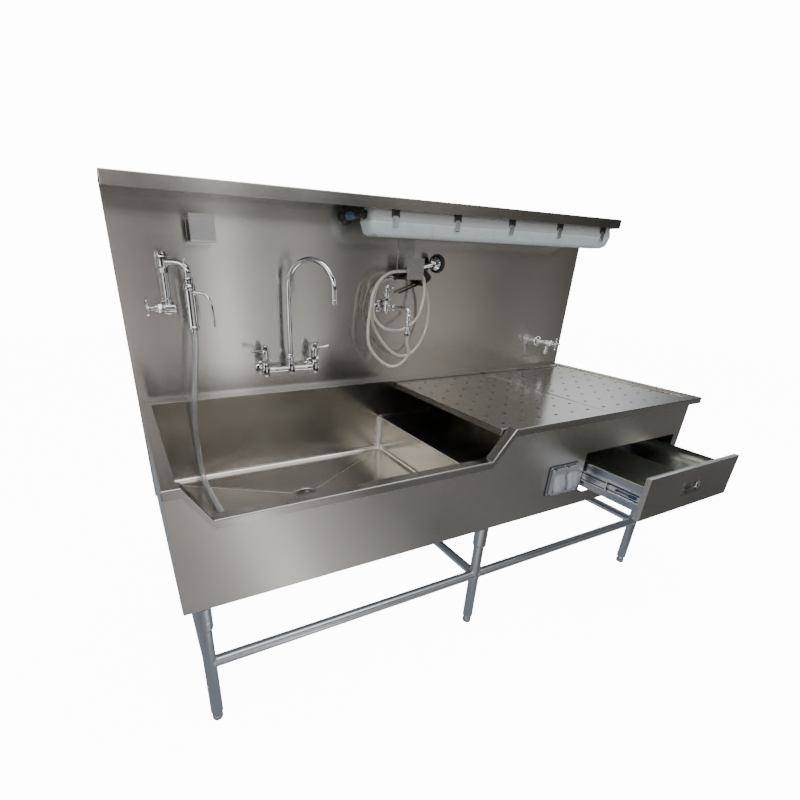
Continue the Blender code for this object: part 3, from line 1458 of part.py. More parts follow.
def build_spigot():
    """Single wall tap with a cross handle."""
    body = part("spigot_body", "polished_chrome", shank_shape(SPIGOT_X, SPIGOT_Z, 0.025, 0.0115, SPIGOT_REACH - 0.038))
    y = DEPTH - SPIGOT_REACH
    bonnet = [
        (0.0, 0.0),
        (0.0110, 0.0),
        (0.0110, 0.010),
        (0.0150, 0.014),
        (0.0160, 0.020),
        (0.0160, 0.050),
        (0.0120, 0.056),
        (0.0, 0.056),
    ]
    join(body, turned_shape(bonnet, (SPIGOT_X, y, SPIGOT_Z), (0, 1, 0)))
    outlet = [
        (0.0, 0.0),
        (0.0090, 0.0),
        (0.0115, 0.003),
        (0.0115, 0.014),
        (0.0090, 0.018),
        (0.0095, 0.056),
        (0.0, 0.056),
    ]
    join(body, turned_shape(outlet, (SPIGOT_X, y + 0.038, SPIGOT_Z - 0.056)))
    cross_handle("spigot_handle", (SPIGOT_X, y - GAP, SPIGOT_Z), (0, -1, 0), 0.017, 0.030)


def build_hooks():
    """Bent hooks for the hose and the gun."""
    hooks = (
        ("hook_left", HOOK_LEFT_X, HOOK_LEFT_DEPTH, HOOK_LEFT_Z, HOOK_LEFT_TOP, HOOK_LEFT_LIP),
        ("hook_right", HOOK_RIGHT_X, HOOK_RIGHT_DEPTH, HOOK_RIGHT_Z, HOOK_RIGHT_TOP, HOOK_RIGHT_LIP),
    )
    for name, left, depth, low, top, lip in hooks:
        back = DEPTH - GAP
        front = DEPTH - depth - HOOK_THICK
        line = rounded_line([(back, top), (back, low), (front, low), (front, lip)], 0.006)
        section = line + offset_line(line, HOOK_THICK)[::-1]
        part(name, "satin_steel", prism_shape(section, 0, left, left + HOOK_WIDTH))


def build_light():
    """Sealed linear light with clips, LED tray and cable entry."""
    low = (LIGHT_LEFT, LIGHT_FRONT)
    high = (LIGHT_RIGHT, LIGHT_BACK)

    def ring(inset, z):
        near = [value + inset for value in low]
        far = [value - inset for value in high]
        return corner_ring(near, far, 0.020, z, 4)

    housing_rings = [
        ring(0.0, LIGHT_JOINT + GAP),
        ring(0.0, LIGHT_JOINT + 0.006),
        ring(0.005, LIGHT_TOP - 0.012),
        ring(0.014, LIGHT_TOP),
    ]
    housing = part("light_housing", "grey_plastic", loft_shape(housing_rings, cap_last=True))
    sheet(housing, LIGHT_WALL)
    middle = (LIGHT_FRONT + LIGHT_BACK) / 2
    for x in (LIGHT_LEFT + 0.200, LIGHT_RIGHT - 0.200):
        spacer_low = (x - 0.020, middle - 0.018, LIGHT_TOP - LIGHT_WALL / 2)
        spacer_high = (x + 0.020, middle + 0.018, SHELF_UNDER - GAP)
        join(housing, box_shape(spacer_low, spacer_high))
    diffuser_rings = [
        ring(0.020, LIGHT_BOTTOM),
        ring(0.008, LIGHT_BOTTOM + 0.010),
        ring(0.0, LIGHT_JOINT - 0.006),
        ring(0.0, LIGHT_JOINT),
    ]
    diffuser = part("light_diffuser", "white_diffuser", loft_shape(diffuser_rings, cap_first=True))
    sheet(diffuser, LIGHT_WALL)
    inset = LIGHT_WALL + 0.0016
    tray_low = (LIGHT_LEFT + 0.030, LIGHT_FRONT + inset, LIGHT_JOINT + 0.010)
    tray_high = (LIGHT_RIGHT - 0.030, LIGHT_BACK - inset, LIGHT_JOINT + 0.012)
    tray = part("led_tray", "white_diffuser", box_shape(tray_low, tray_high))
    for side in (-1, 1):
        y = middle + side * 0.020
        strip_low = (LIGHT_LEFT + 0.040, y - 0.006, LIGHT_JOINT + 0.0080)
        strip_high = (LIGHT_RIGHT - 0.040, y + 0.006, LIGHT_JOINT + 0.011)
        join(tray, box_shape(strip_low, strip_high))

    pivot_y = LIGHT_FRONT - 0.0008
    pivot_z = LIGHT_JOINT + 0.016
    for index in range(CLIP_COUNT):
        x = CLIP_FIRST + CLIP_PITCH * index
        line = [
            (pivot_y, pivot_z),
            (pivot_y, LIGHT_JOINT - 0.014),
            (pivot_y + 0.0030, LIGHT_JOINT - 0.019),
        ]
        section = line + offset_line(line, 0.0016)[::-1]
        clip = prism_shape(section, 0, x - 0.012, x + 0.012)
        part("light_clip_%d" % (index + 1), "zinc_plate", clip, (x, pivot_y, pivot_z))

    hub = [
        (0.0, GAP),
        (0.026, GAP),
        (0.026, 0.012),
        (0.018, 0.019),
        (0.0145, 0.021),
        (0.0145, 0.052),
        (0.0, 0.052),
    ]
    conduit = part("light_conduit", "black_plastic", turned_shape(hub, (CONDUIT_X, DEPTH, CONDUIT_Z), (0, -1, 0)))
    end = LIGHT_LEFT - GAP
    swing = end - CONDUIT_X
    path = [(CONDUIT_X, DEPTH - 0.030, CONDUIT_Z)]
    for step in range(6):
        angle = math.radians(180 + 90 * step / 5)
        path.append((end + swing * math.cos(angle), middle + swing + swing * math.sin(angle), CONDUIT_Z))
    join(conduit, pipe_shape(path, 0.0095, 4))
    gland = [(0.0, 0.0), (0.0150, 0.0), (0.0150, 0.0070), (0.0110, 0.0090), (0.0, 0.0090)]
    join(conduit, turned_shape(gland, (end, middle, CONDUIT_Z), (-1, 0, 0)))


build_top()
build_shell()
build_worktop()
build_stand()
build_drain()
build_drawer()
build_outlet()
build_faucet()
build_aspirator()
build_spray()
build_spigot()
build_hooks()
build_light()
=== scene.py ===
"""Looks of an embalming sink station: steel sheet, chrome taps, hoses, drawer, outlet and shelf light."""

import json
import math

import bmesh
import bpy
from mathutils import Matrix, Vector

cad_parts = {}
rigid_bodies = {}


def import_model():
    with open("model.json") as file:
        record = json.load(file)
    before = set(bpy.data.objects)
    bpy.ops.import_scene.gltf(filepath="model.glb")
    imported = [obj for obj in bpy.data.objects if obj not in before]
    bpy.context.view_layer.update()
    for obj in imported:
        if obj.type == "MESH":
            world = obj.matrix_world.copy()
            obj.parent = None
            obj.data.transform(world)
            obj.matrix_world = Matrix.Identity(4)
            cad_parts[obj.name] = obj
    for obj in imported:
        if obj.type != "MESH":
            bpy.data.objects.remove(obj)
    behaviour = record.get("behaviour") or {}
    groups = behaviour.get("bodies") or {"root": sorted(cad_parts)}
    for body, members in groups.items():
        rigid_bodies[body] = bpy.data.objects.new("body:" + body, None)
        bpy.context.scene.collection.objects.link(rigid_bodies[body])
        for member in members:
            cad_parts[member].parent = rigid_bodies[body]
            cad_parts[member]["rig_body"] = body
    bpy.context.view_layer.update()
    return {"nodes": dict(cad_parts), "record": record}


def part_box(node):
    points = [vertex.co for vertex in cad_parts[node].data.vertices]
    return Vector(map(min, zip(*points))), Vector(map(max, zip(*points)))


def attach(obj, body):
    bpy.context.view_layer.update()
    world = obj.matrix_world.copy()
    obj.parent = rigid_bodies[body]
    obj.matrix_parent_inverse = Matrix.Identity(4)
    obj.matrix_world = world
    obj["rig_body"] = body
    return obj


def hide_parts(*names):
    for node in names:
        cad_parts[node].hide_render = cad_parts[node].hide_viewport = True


bl_info = {
    "name": "Embalming Sink Station Looks",
    "version": (1, 0, 0),
    "blender": (4, 5, 0),
    "location": "3D View > Sidebar > Sink Station",
    "description": "Dresses the packed sink station with its finishes, fittings, hoses and studio",
    "category": "Object",
}

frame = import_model()
SLOT_OF = {s["node"]: s["material_slot"] for s in frame["record"]["subparts"]}

UP = Vector((0, 0, 1))
BACK = Vector((0, 1, 0))
FORWARD = Vector((0, -1, 0))
LEFT = Vector((-1, 0, 0))

# The station's own corner: left rim edge, front lip, floor
CORNER = Vector((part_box("top_rim")[0].x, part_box("top_rim")[0].y, 0.0))


def box_of(node):
    """Low and high corner of a node's box, measured from the station's corner."""
    return [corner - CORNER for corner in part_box(node)]


def centre_of(node):
    """Middle of a node's box, measured from the station's corner."""
    low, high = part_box(node)
    return (low + high) / 2 - CORNER


GAP = 0.0003
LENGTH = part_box("top_rim")[1].x - CORNER.x
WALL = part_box("hook_left")[1].y - CORNER.y + GAP
WORK_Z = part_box("top_rim")[1].z


def tint(name, description, default):
    """A colour that a user would change."""
    return bpy.props.FloatVectorProperty(name=name, description=description, subtype="COLOR", default=default)


class StationLooks(bpy.types.PropertyGroup):
    """Sizes and colours of the visible finishes."""

    steel_colour: tint("Satin steel", "Tint of the brushed sheet", (0.58, 0.565, 0.54))
    leg_colour: tint("Leg tube", "Tint of the leg tubes", (0.60, 0.625, 0.665))
    chrome_colour: tint("Chrome", "Tint of the plated taps", (0.72, 0.73, 0.745))
    hose_colour: tint("Spray hose", "Sleeve of the spray hose", (0.72, 0.69, 0.62))
    steel_roughness: bpy.props.FloatProperty(
        name="Steel roughness", description="Roughness of the satin grain", default=0.20, min=0.05, max=0.8
    )
    round_sides: bpy.props.IntProperty(
        name="Round sides", description="Sides of turned fittings", default=40, min=12, max=96
    )
    edge_round: bpy.props.FloatProperty(
        name="Edge round", description="Softened edge of sheet metal", default=0.0005, unit="LENGTH"
    )


class StageLooks(bpy.types.PropertyGroup):
    """Studio floor, light and camera."""

    floor_colour: tint("Floor", "Pale studio floor", (0.93, 0.93, 0.93))
    key_power: bpy.props.FloatProperty(
        name="Key light", description="Power of the overhead soft box", default=38.0, unit="POWER"
    )
    eye: bpy.props.FloatVectorProperty(
        name="Eye", description="Camera place from the station's corner", subtype="XYZ", unit="LENGTH",
        default=(-0.0223, -0.9924, 1.3178),
    )
    heading: bpy.props.FloatVectorProperty(
        name="Heading", description="Camera turn, roll and tilt", subtype="EULER", unit="ROTATION",
        default=(math.radians(-26.7356), math.radians(-1.4769), math.radians(-25.0305)),
    )
    lens: bpy.props.FloatProperty(
        name="Lens", description="Focal length on a 36 mm sensor", default=20.267, subtype="DISTANCE_CAMERA"
    )


def looks():
    """The station's own properties."""
    return bpy.context.scene.sink_station_looks


# Shapes


def mm(*values):
    """Points of (radius, height) in metres from a row of millimetres."""
    return [(radius / 1000, height / 1000) for radius, height in zip(values[::2], values[1::2])]


def route_mm(*points):
    """Points in metres from points in millimetres."""
    return [tuple(value / 1000 for value in point) for point in points]


def arc(first, last, steps):
    """Cosine and sine of even turns between two angles in degrees."""
    turns = [math.radians(first + (last - first) * step / steps) for step in range(steps + 1)]
    return [(math.cos(turn), math.sin(turn)) for turn in turns]


def ring(count, radius):
    """Even places on a circle."""
    turns = [2 * math.pi * index / count for index in range(count)]
    return [(radius * math.cos(turn), radius * math.sin(turn)) for turn in turns]


def gather(target, source):
    """Adds one shape to another."""
    holder = bpy.data.meshes.new("holder")
    source.to_mesh(holder)
    source.free()
    target.from_mesh(holder)
    bpy.data.meshes.remove(holder)


def turn_to(axis):
    """The rotation that takes +Z to an axis."""
    return UP.rotation_difference(Vector(axis)).to_matrix().to_4x4()


def turned(shape, profile, base, axis=UP, sides=None):
    """Adds a turned form from (radius, height) points."""
    form = bmesh.new()
    points = [form.verts.new((radius, 0, height)) for radius, height in profile]
    pairs = list(zip(points, points[1:]))
    if profile[0][0] > 0 and profile[-1][0] > 0:
        pairs.append((points[-1], points[0]))
    edges = [form.edges.new(pair) for pair in pairs]
    bmesh.ops.spin(
        form, geom=points + edges, cent=(0, 0, 0), axis=UP, angle=2 * math.pi,
        steps=sides or looks().round_sides, use_merge=True,
    )
    bmesh.ops.remove_doubles(form, verts=form.verts, dist=1e-6)
    bmesh.ops.recalc_face_normals(form, faces=form.faces)
    bmesh.ops.transform(form, matrix=Matrix.Translation(base) @ turn_to(axis), verts=form.verts)
    gather(shape, form)


def rod(shape, start, end, radius, sides=None, soft=0.0):
    """Adds a round or many-sided bar between two points."""
    start, end = Vector(start), Vector(end)
    form = bmesh.new()
    bmesh.ops.create_cone(
        form, cap_ends=True, segments=sides or looks().round_sides, radius1=radius, radius2=radius,
        depth=(end - start).length,
    )
    if soft:
        soften(form, soft)
    place = Matrix.Translation((start + end) / 2) @ turn_to(end - start)
    bmesh.ops.transform(form, matrix=place, verts=form.verts)
    gather(shape, form)


def nut(shape, base, axis, start, end, radius, soft=0.0008):
    """Adds a six-sided nut on an axis."""
    rod(shape, base + axis * start, base + axis * end, radius, sides=6, soft=soft)


def ball(shape, centre, size, rings):
    """Adds a ball, or an egg where the three sizes differ."""
    form = bmesh.new()
    bmesh.ops.create_uvsphere(form, u_segments=rings * 2, v_segments=rings, radius=1.0)
    bmesh.ops.scale(form, vec=size, verts=form.verts)
    bmesh.ops.translate(form, vec=centre, verts=form.verts)
    gather(shape, form)


def block(shape, low, high, soft=0.0):
    """Adds a block between two corners with rounded edges."""
    form = bmesh.new()
    bmesh.ops.create_cube(form, size=1.0)
    bmesh.ops.scale(form, vec=[b - a for a, b in zip(low, high)], verts=form.verts)
    bmesh.ops.translate(form, vec=[(a + b) / 2 for a, b in zip(low, high)], verts=form.verts)
    if soft:
        soften(form, soft)
    gather(shape, form)


def prism(shape, outline, along, soft=0.0):
    """Adds a flat outline of points drawn out along a vector."""
    form = bmesh.new()
    face = form.faces.new([form.verts.new(point) for point in outline])
    grown = bmesh.ops.extrude_face_region(form, geom=[face])
    moved = [v for v in grown["geom"] if isinstance(v, bmesh.types.BMVert)]
    bmesh.ops.translate(form, vec=along, verts=moved)
    bmesh.ops.recalc_face_normals(form, faces=form.faces)
    if soft:
        soften(form, soft, 2)
    gather(shape, form)


BUMP_COLUMNS = 18


def bump(shape, x, y, rows):
    """Adds a closed bulge on an upright plane, boxy in section, from rows of height, half width and depth."""
    form = bmesh.new()
    grid = []
    for z, half, depth in rows:
        line = []
        for step in range(BUMP_COLUMNS + 1):
            place = 2 * step / BUMP_COLUMNS - 1
            side = math.copysign(1 - (1 - abs(place)) ** 2, place)
            line.append(form.verts.new((x + half * side, y - depth * (1 - side ** 4) ** 0.5, z)))
        grid.append(line)
    for upper, lower in zip(grid, grid[1:]):
        for corners in zip(upper, upper[1:], lower[1:], lower):
            form.faces.new(corners)
    form.faces.new(grid[-1])
    form.faces.new([line[0] for line in grid] + [line[-1] for line in grid[::-1]] + grid[0][-2:0:-1])
    bmesh.ops.recalc_face_normals(form, faces=form.faces)
    gather(shape, form)


def bevelled(form, edges, width, segments):
    """Rounds the given edges of a form."""
    bmesh.ops.bevel(
        form, geom=edges, offset=width, offset_type="OFFSET", segments=segments, profile=0.5, affect="EDGES",
        clamp_overlap=True, material=-1,
    )


def soften(form, width, segments=3, angle=38.0):
    """Rounds the sharp edges of a form."""
    sharp = [e for e in form.edges if e.is_manifold and e.calc_face_angle() > math.radians(angle)]
    bevelled(form, sharp, width, segments)


def tube(name, path, radius, resolution, closed=False):
    """A round curve along a path."""
    curve = bpy.data.curves.new(name, "CURVE")
    curve.dimensions = "3D"
    spline = curve.splines.new("POLY")
    spline.points.add(len(path) - 1)
    for point, place in zip(spline.points, path):
        point.co = (*place, 1.0)
    spline.use_cyclic_u = closed
    curve.bevel_depth = radius
    curve.bevel_resolution = resolution
    curve.use_fill_caps = not closed
    made = bpy.data.objects.new(name, curve)
    bpy.context.scene.collection.objects.link(made)
    return made


def piped(shape, path, radius, resolution, closed=False):
    """Adds a round tube along a path."""
    guide = tube("run", path, radius, resolution, closed)
    made = bpy.data.meshes.new_from_object(guide.evaluated_get(bpy.context.evaluated_depsgraph_get()))
    form = bmesh.new()
    form.from_mesh(made)
    bmesh.ops.remove_doubles(form, verts=form.verts, dist=1e-6)
    bmesh.ops.recalc_face_normals(form, faces=form.faces)
    bpy.data.objects.remove(guide, do_unlink=True)
    bpy.data.meshes.remove(made)
    gather(shape, form)


def smooth_route(points, spacing):
    """Even points on a smooth curve through the given ones, straight at both ends."""
    points = [Vector(point) for point in points]
    fine = []
    for first, second, third, fourth in zip(points, points[1:], points[2:], points[3:]):
        knots = [0.0]
        for a, b in ((first, second), (second, third), (third, fourth)):
            knots.append(knots[-1] + (b - a).length ** 0.5)
        for step in range(24):
            t = knots[1] + (knots[2] - knots[1]) * step / 24
            line = [
                first.lerp(second, (t - knots[0]) / (knots[1] - knots[0])),
                second.lerp(third, (t - knots[1]) / (knots[2] - knots[1])),
                third.lerp(fourth, (t - knots[2]) / (knots[3] - knots[2])),
            ]
            near = line[0].lerp(line[1], (t - knots[0]) / (knots[2] - knots[0]))
            far = line[1].lerp(line[2], (t - knots[1]) / (knots[3] - knots[1]))
            fine.append(near.lerp(far, (t - knots[1]) / (knots[2] - knots[1])))
    fine.append(points[-2])
    lengths = [0.0]
    for a, b in zip(fine, fine[1:]):
        lengths.append(lengths[-1] + (b - a).length)
    count = max(2, round(lengths[-1] / spacing))
    result = [points[0]]
    place = 0
    for index in range(count + 1):
        wanted = lengths[-1] * index / count
        while place < len(fine) - 2 and lengths[place + 1] < wanted:
            place += 1
        share = (wanted - lengths[place]) / (lengths[place + 1] - lengths[place])
        result.append(fine[place].lerp(fine[place + 1], share))
    result.append(points[-1])
    return result


def piece(name, shape, finish, body="station", stands_for=(), crease=36.0, slot=None, placed=False):
    """A finished piece of the station, riding on its body."""
    if not placed:
        bmesh.ops.translate(shape, vec=CORNER, verts=shape.verts)
    mesh = bpy.data.meshes.new(name)
    shape.to_mesh(mesh)
    shape.free()
    mesh.polygons.foreach_set("use_smooth", [True] * len(mesh.polygons))
    mesh.set_sharp_from_angle(angle=math.radians(crease))
    mesh.materials.append(finish_of(finish))
    made = bpy.data.objects.new(name, mesh)
    bpy.context.scene.collection.objects.link(made)
    flats = made.modifiers.new("flat_faces", "WEIGHTED_NORMAL")
    flats.keep_sharp = True
    flats.weight = 90
    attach(made, body)
    if stands_for:
        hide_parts(*stands_for)
    slot = slot or FINISHES[finish][0]
    return made


def dressed(node, finish, edge=None):
    """A copy of a solid with merged faces, softened edges and smooth bends, standing for it."""
    source = frame["nodes"][node]
    shape = bmesh.new()
    shape.from_mesh(source.data)
    bmesh.ops.remove_doubles(shape, verts=shape.verts, dist=2e-5)
    bmesh.ops.dissolve_limit(
        shape, angle_limit=math.radians(0.5), use_dissolve_boundaries=False, verts=shape.verts,
        edges=shape.edges,
    )
    edge = looks().edge_round if edge is None else edge
    if edge:
        soften(shape, edge, 2, 50.0)
    return piece(node + "_skin", shape, finish, source["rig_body"], (node,), slot=SLOT_OF[node], placed=True)


# Finishes


def feed(tree, node, inputs):
    """Sets a node's inputs: each to a value, or to the output of another node."""
    for key, value in inputs.items():
        if isinstance(value, bpy.types.NodeSocket):
            tree.links.new(value, node.inputs[key])
        else:
            node.inputs[key].default_value = value


def add(tree, kind, inputs=None, **settings):
    """A new node with its settings and inputs."""
    node = tree.nodes.new(kind)
    for key, value in settings.items():
        setattr(node, key, value)
    feed(tree, node, inputs or {})
    return node


def calculated(tree, operation, *values):
    """Output of a calculation."""
    return add(tree, "ShaderNodeMath", dict(enumerate(values)), operation=operation).outputs[0]


def ranged(tree, source, low, high, to_low, to_high, kind="LINEAR"):
    """Output of a node that maps one range of values on another."""
    inputs = {"Value": source, "From Min": low, "From Max": high, "To Min": to_low, "To Max": to_high}
    return add(tree, "ShaderNodeMapRange", inputs, interpolation_type=kind).outputs["Result"]


def mixed(tree, share, first, second):
    """Output of a mix of two colours."""
    inputs = {"Factor": share, "A": first, "B": second}
    return add(tree, "ShaderNodeMix", inputs, data_type="RGBA").outputs["Result"]


def relief(tree, height, strength, distance):
    """Normal of a slight relief."""
    inputs = {"Height": height, "Strength": strength, "Distance": distance}
    return add(tree, "ShaderNodeBump", inputs).outputs["Normal"]


def shade(colour, factor):
    """A colour made darker or lighter."""
    return (*[min(1.0, value * factor) for value in colour], 1.0)


def start_material(name):
    """A new material with its node tree and shader."""
    made = bpy.data.materials.new(name)
    made.use_nodes = True
    return made, made.node_tree, made.node_tree.nodes["Principled BSDF"]


def start_group(name, inputs, outputs):
    """A new node group with its sockets, its inner inputs and its exit."""
    group = bpy.data.node_groups.new(name, "ShaderNodeTree")
    for label, kind in inputs:
        group.interface.new_socket(label, in_out="INPUT", socket_type=kind)
    for label in outputs:
        group.interface.new_socket(label, in_out="OUTPUT", socket_type="NodeSocketFloat")
    return group, add(group, "NodeGroupInput").outputs, add(group, "NodeGroupOutput")


def grain_group():
    """Node group: brushed lines and broad smudges."""
    found = bpy.data.node_groups.get("brushed_grain")
    if found:
        return found
    vectors = [(label, "NodeSocketVector") for label in ("Lines Vector", "Place Vector")]
    group, enter, leave = start_group("brushed_grain", vectors, ("Lines", "Smudge"))
    fine = {"Vector": enter["Lines Vector"], "Scale": 1.0, "Detail": 4.0, "Roughness": 0.72}
    broad = {"Vector": enter["Place Vector"], "Scale": 2.6, "Detail": 3.0, "Distortion": 0.6}
    lines = add(group, "ShaderNodeTexNoise", fine).outputs["Fac"]
    feed(group, leave, {"Lines": lines, "Smudge": add(group, "ShaderNodeTexNoise", broad).outputs["Fac"]})
    return group


def speck_group():
    """Node group: fine pitting and faint spots of a cast, moulded or plated face."""
    found = bpy.data.node_groups.get("fine_specks")
    if found:
        return found
    sockets = (("Vector", "NodeSocketVector"), ("Size", "NodeSocketFloat"))
    group, enter, leave = start_group("fine_specks", sockets, ("Specks", "Haze"))
    fine = {"Vector": enter["Vector"], "Scale": enter["Size"], "Detail": 3.0}
    broad = {"Vector": enter["Vector"], "Scale": 22.0, "Detail": 4.0}
    specks = add(group, "ShaderNodeTexNoise", fine).outputs["Fac"]
    feed(group, leave, {"Specks": specks, "Haze": add(group, "ShaderNodeTexNoise", broad).outputs["Fac"]})
    return group


def brushed(name, colour, roughness, grain, stretch=0.0, depth=0.022):
    """Satin metal with a grain: lines, broad smudges and a slight change of tint."""
    made, tree, shader = start_material(name)
    place = add(tree, "ShaderNodeTexCoord").outputs["Object"]
    along = add(tree, "ShaderNodeMapping", {"Vector": place, "Scale": grain}).outputs["Vector"]
    inputs = {"Lines Vector": along, "Place Vector": place}
    marks = add(tree, "ShaderNodeGroup", inputs, node_tree=grain_group()).outputs
    smudge = calculated(tree, "MULTIPLY", marks["Smudge"], 0.45)
    blend = calculated(tree, "MULTIPLY_ADD", marks["Lines"], 0.55, smudge)
    feed(tree, shader, {
        "Base Color": mixed(tree, blend, shade(colour, 0.93), shade(colour, 1.06)),
        "Roughness": ranged(tree, blend, 0.30, 0.70, roughness * 0.78, roughness * 1.28),
        "Normal": relief(tree, marks["Lines"], depth, 0.0006),
        "Metallic": 1.0,
    })
    if stretch:
        feed(tree, shader, {"Anisotropic": stretch, "Anisotropic Rotation": 0.25})
    return made


def speckled(name, colour, roughness, metallic, size, depth, spread, more=None):
    """Cast, moulded or plated face: fine specks, faint haze and a little relief."""
    made, tree, shader = start_material(name)
    inputs = {"Vector": add(tree, "ShaderNodeTexCoord").outputs["Object"], "Size": size}
    marks = add(tree, "ShaderNodeGroup", inputs, node_tree=speck_group()).outputs
    feed(tree, shader, {
        "Base Color": mixed(tree, marks["Haze"], shade(colour, 1 - spread), shade(colour, 1 + spread)),
        "Roughness": ranged(tree, marks["Haze"], 0.3, 0.7, roughness * 0.8, roughness * 1.25),
        "Metallic": metallic,
    })
    if depth:
        feed(tree, shader, {"Normal": relief(tree, marks["Specks"], depth, 0.0004)})
    feed(tree, shader, more or {})
    return made


def braided(name, colour):
    """Reinforced hose: crossed threads under a clear sleeve, on the tube's own coordinates."""
    made, tree, shader = start_material(name)
    place = add(tree, "ShaderNodeTexCoord").outputs["UV"]
    waves = []
    for way in (1, -1):
        turn = add(tree, "ShaderNodeMapping", {"Vector": place, "Scale": (380.0, 3.0 * way, 1.0)})
        inputs = {"Vector": turn.outputs["Vector"], "Scale": 1.0}
        waves.append(add(tree, "ShaderNodeTexWave", inputs, bands_direction="DIAGONAL").outputs["Fac"])
    cross = calculated(tree, "MAXIMUM", *waves)
    feed(tree, shader, {
        "Base Color": mixed(tree, cross, shade(colour, 0.62), shade(colour, 1.12)),
        "Normal": relief(tree, cross, 0.12, 0.0004),
        "Roughness": 0.30,
        "Metallic": 0.25,
        "Coat Weight": 0.7,
        "Coat Roughness": 0.12,
    })
    return made


ALONG_X = (9.0, 1900.0, 1900.0)
ALONG_Y = (1900.0, 9.0, 1900.0)
ALONG_Z = (1900.0, 1900.0, 9.0)
ALL_WAYS = (900.0, 900.0, 900.0)
MILKY = {"Coat Weight": 0.35, "Coat Roughness": 0.18, "Subsurface Weight": 0.25, "Subsurface Scale": 0.02}
CLEAR = {"Transmission Weight": 0.87, "IOR": 1.42}

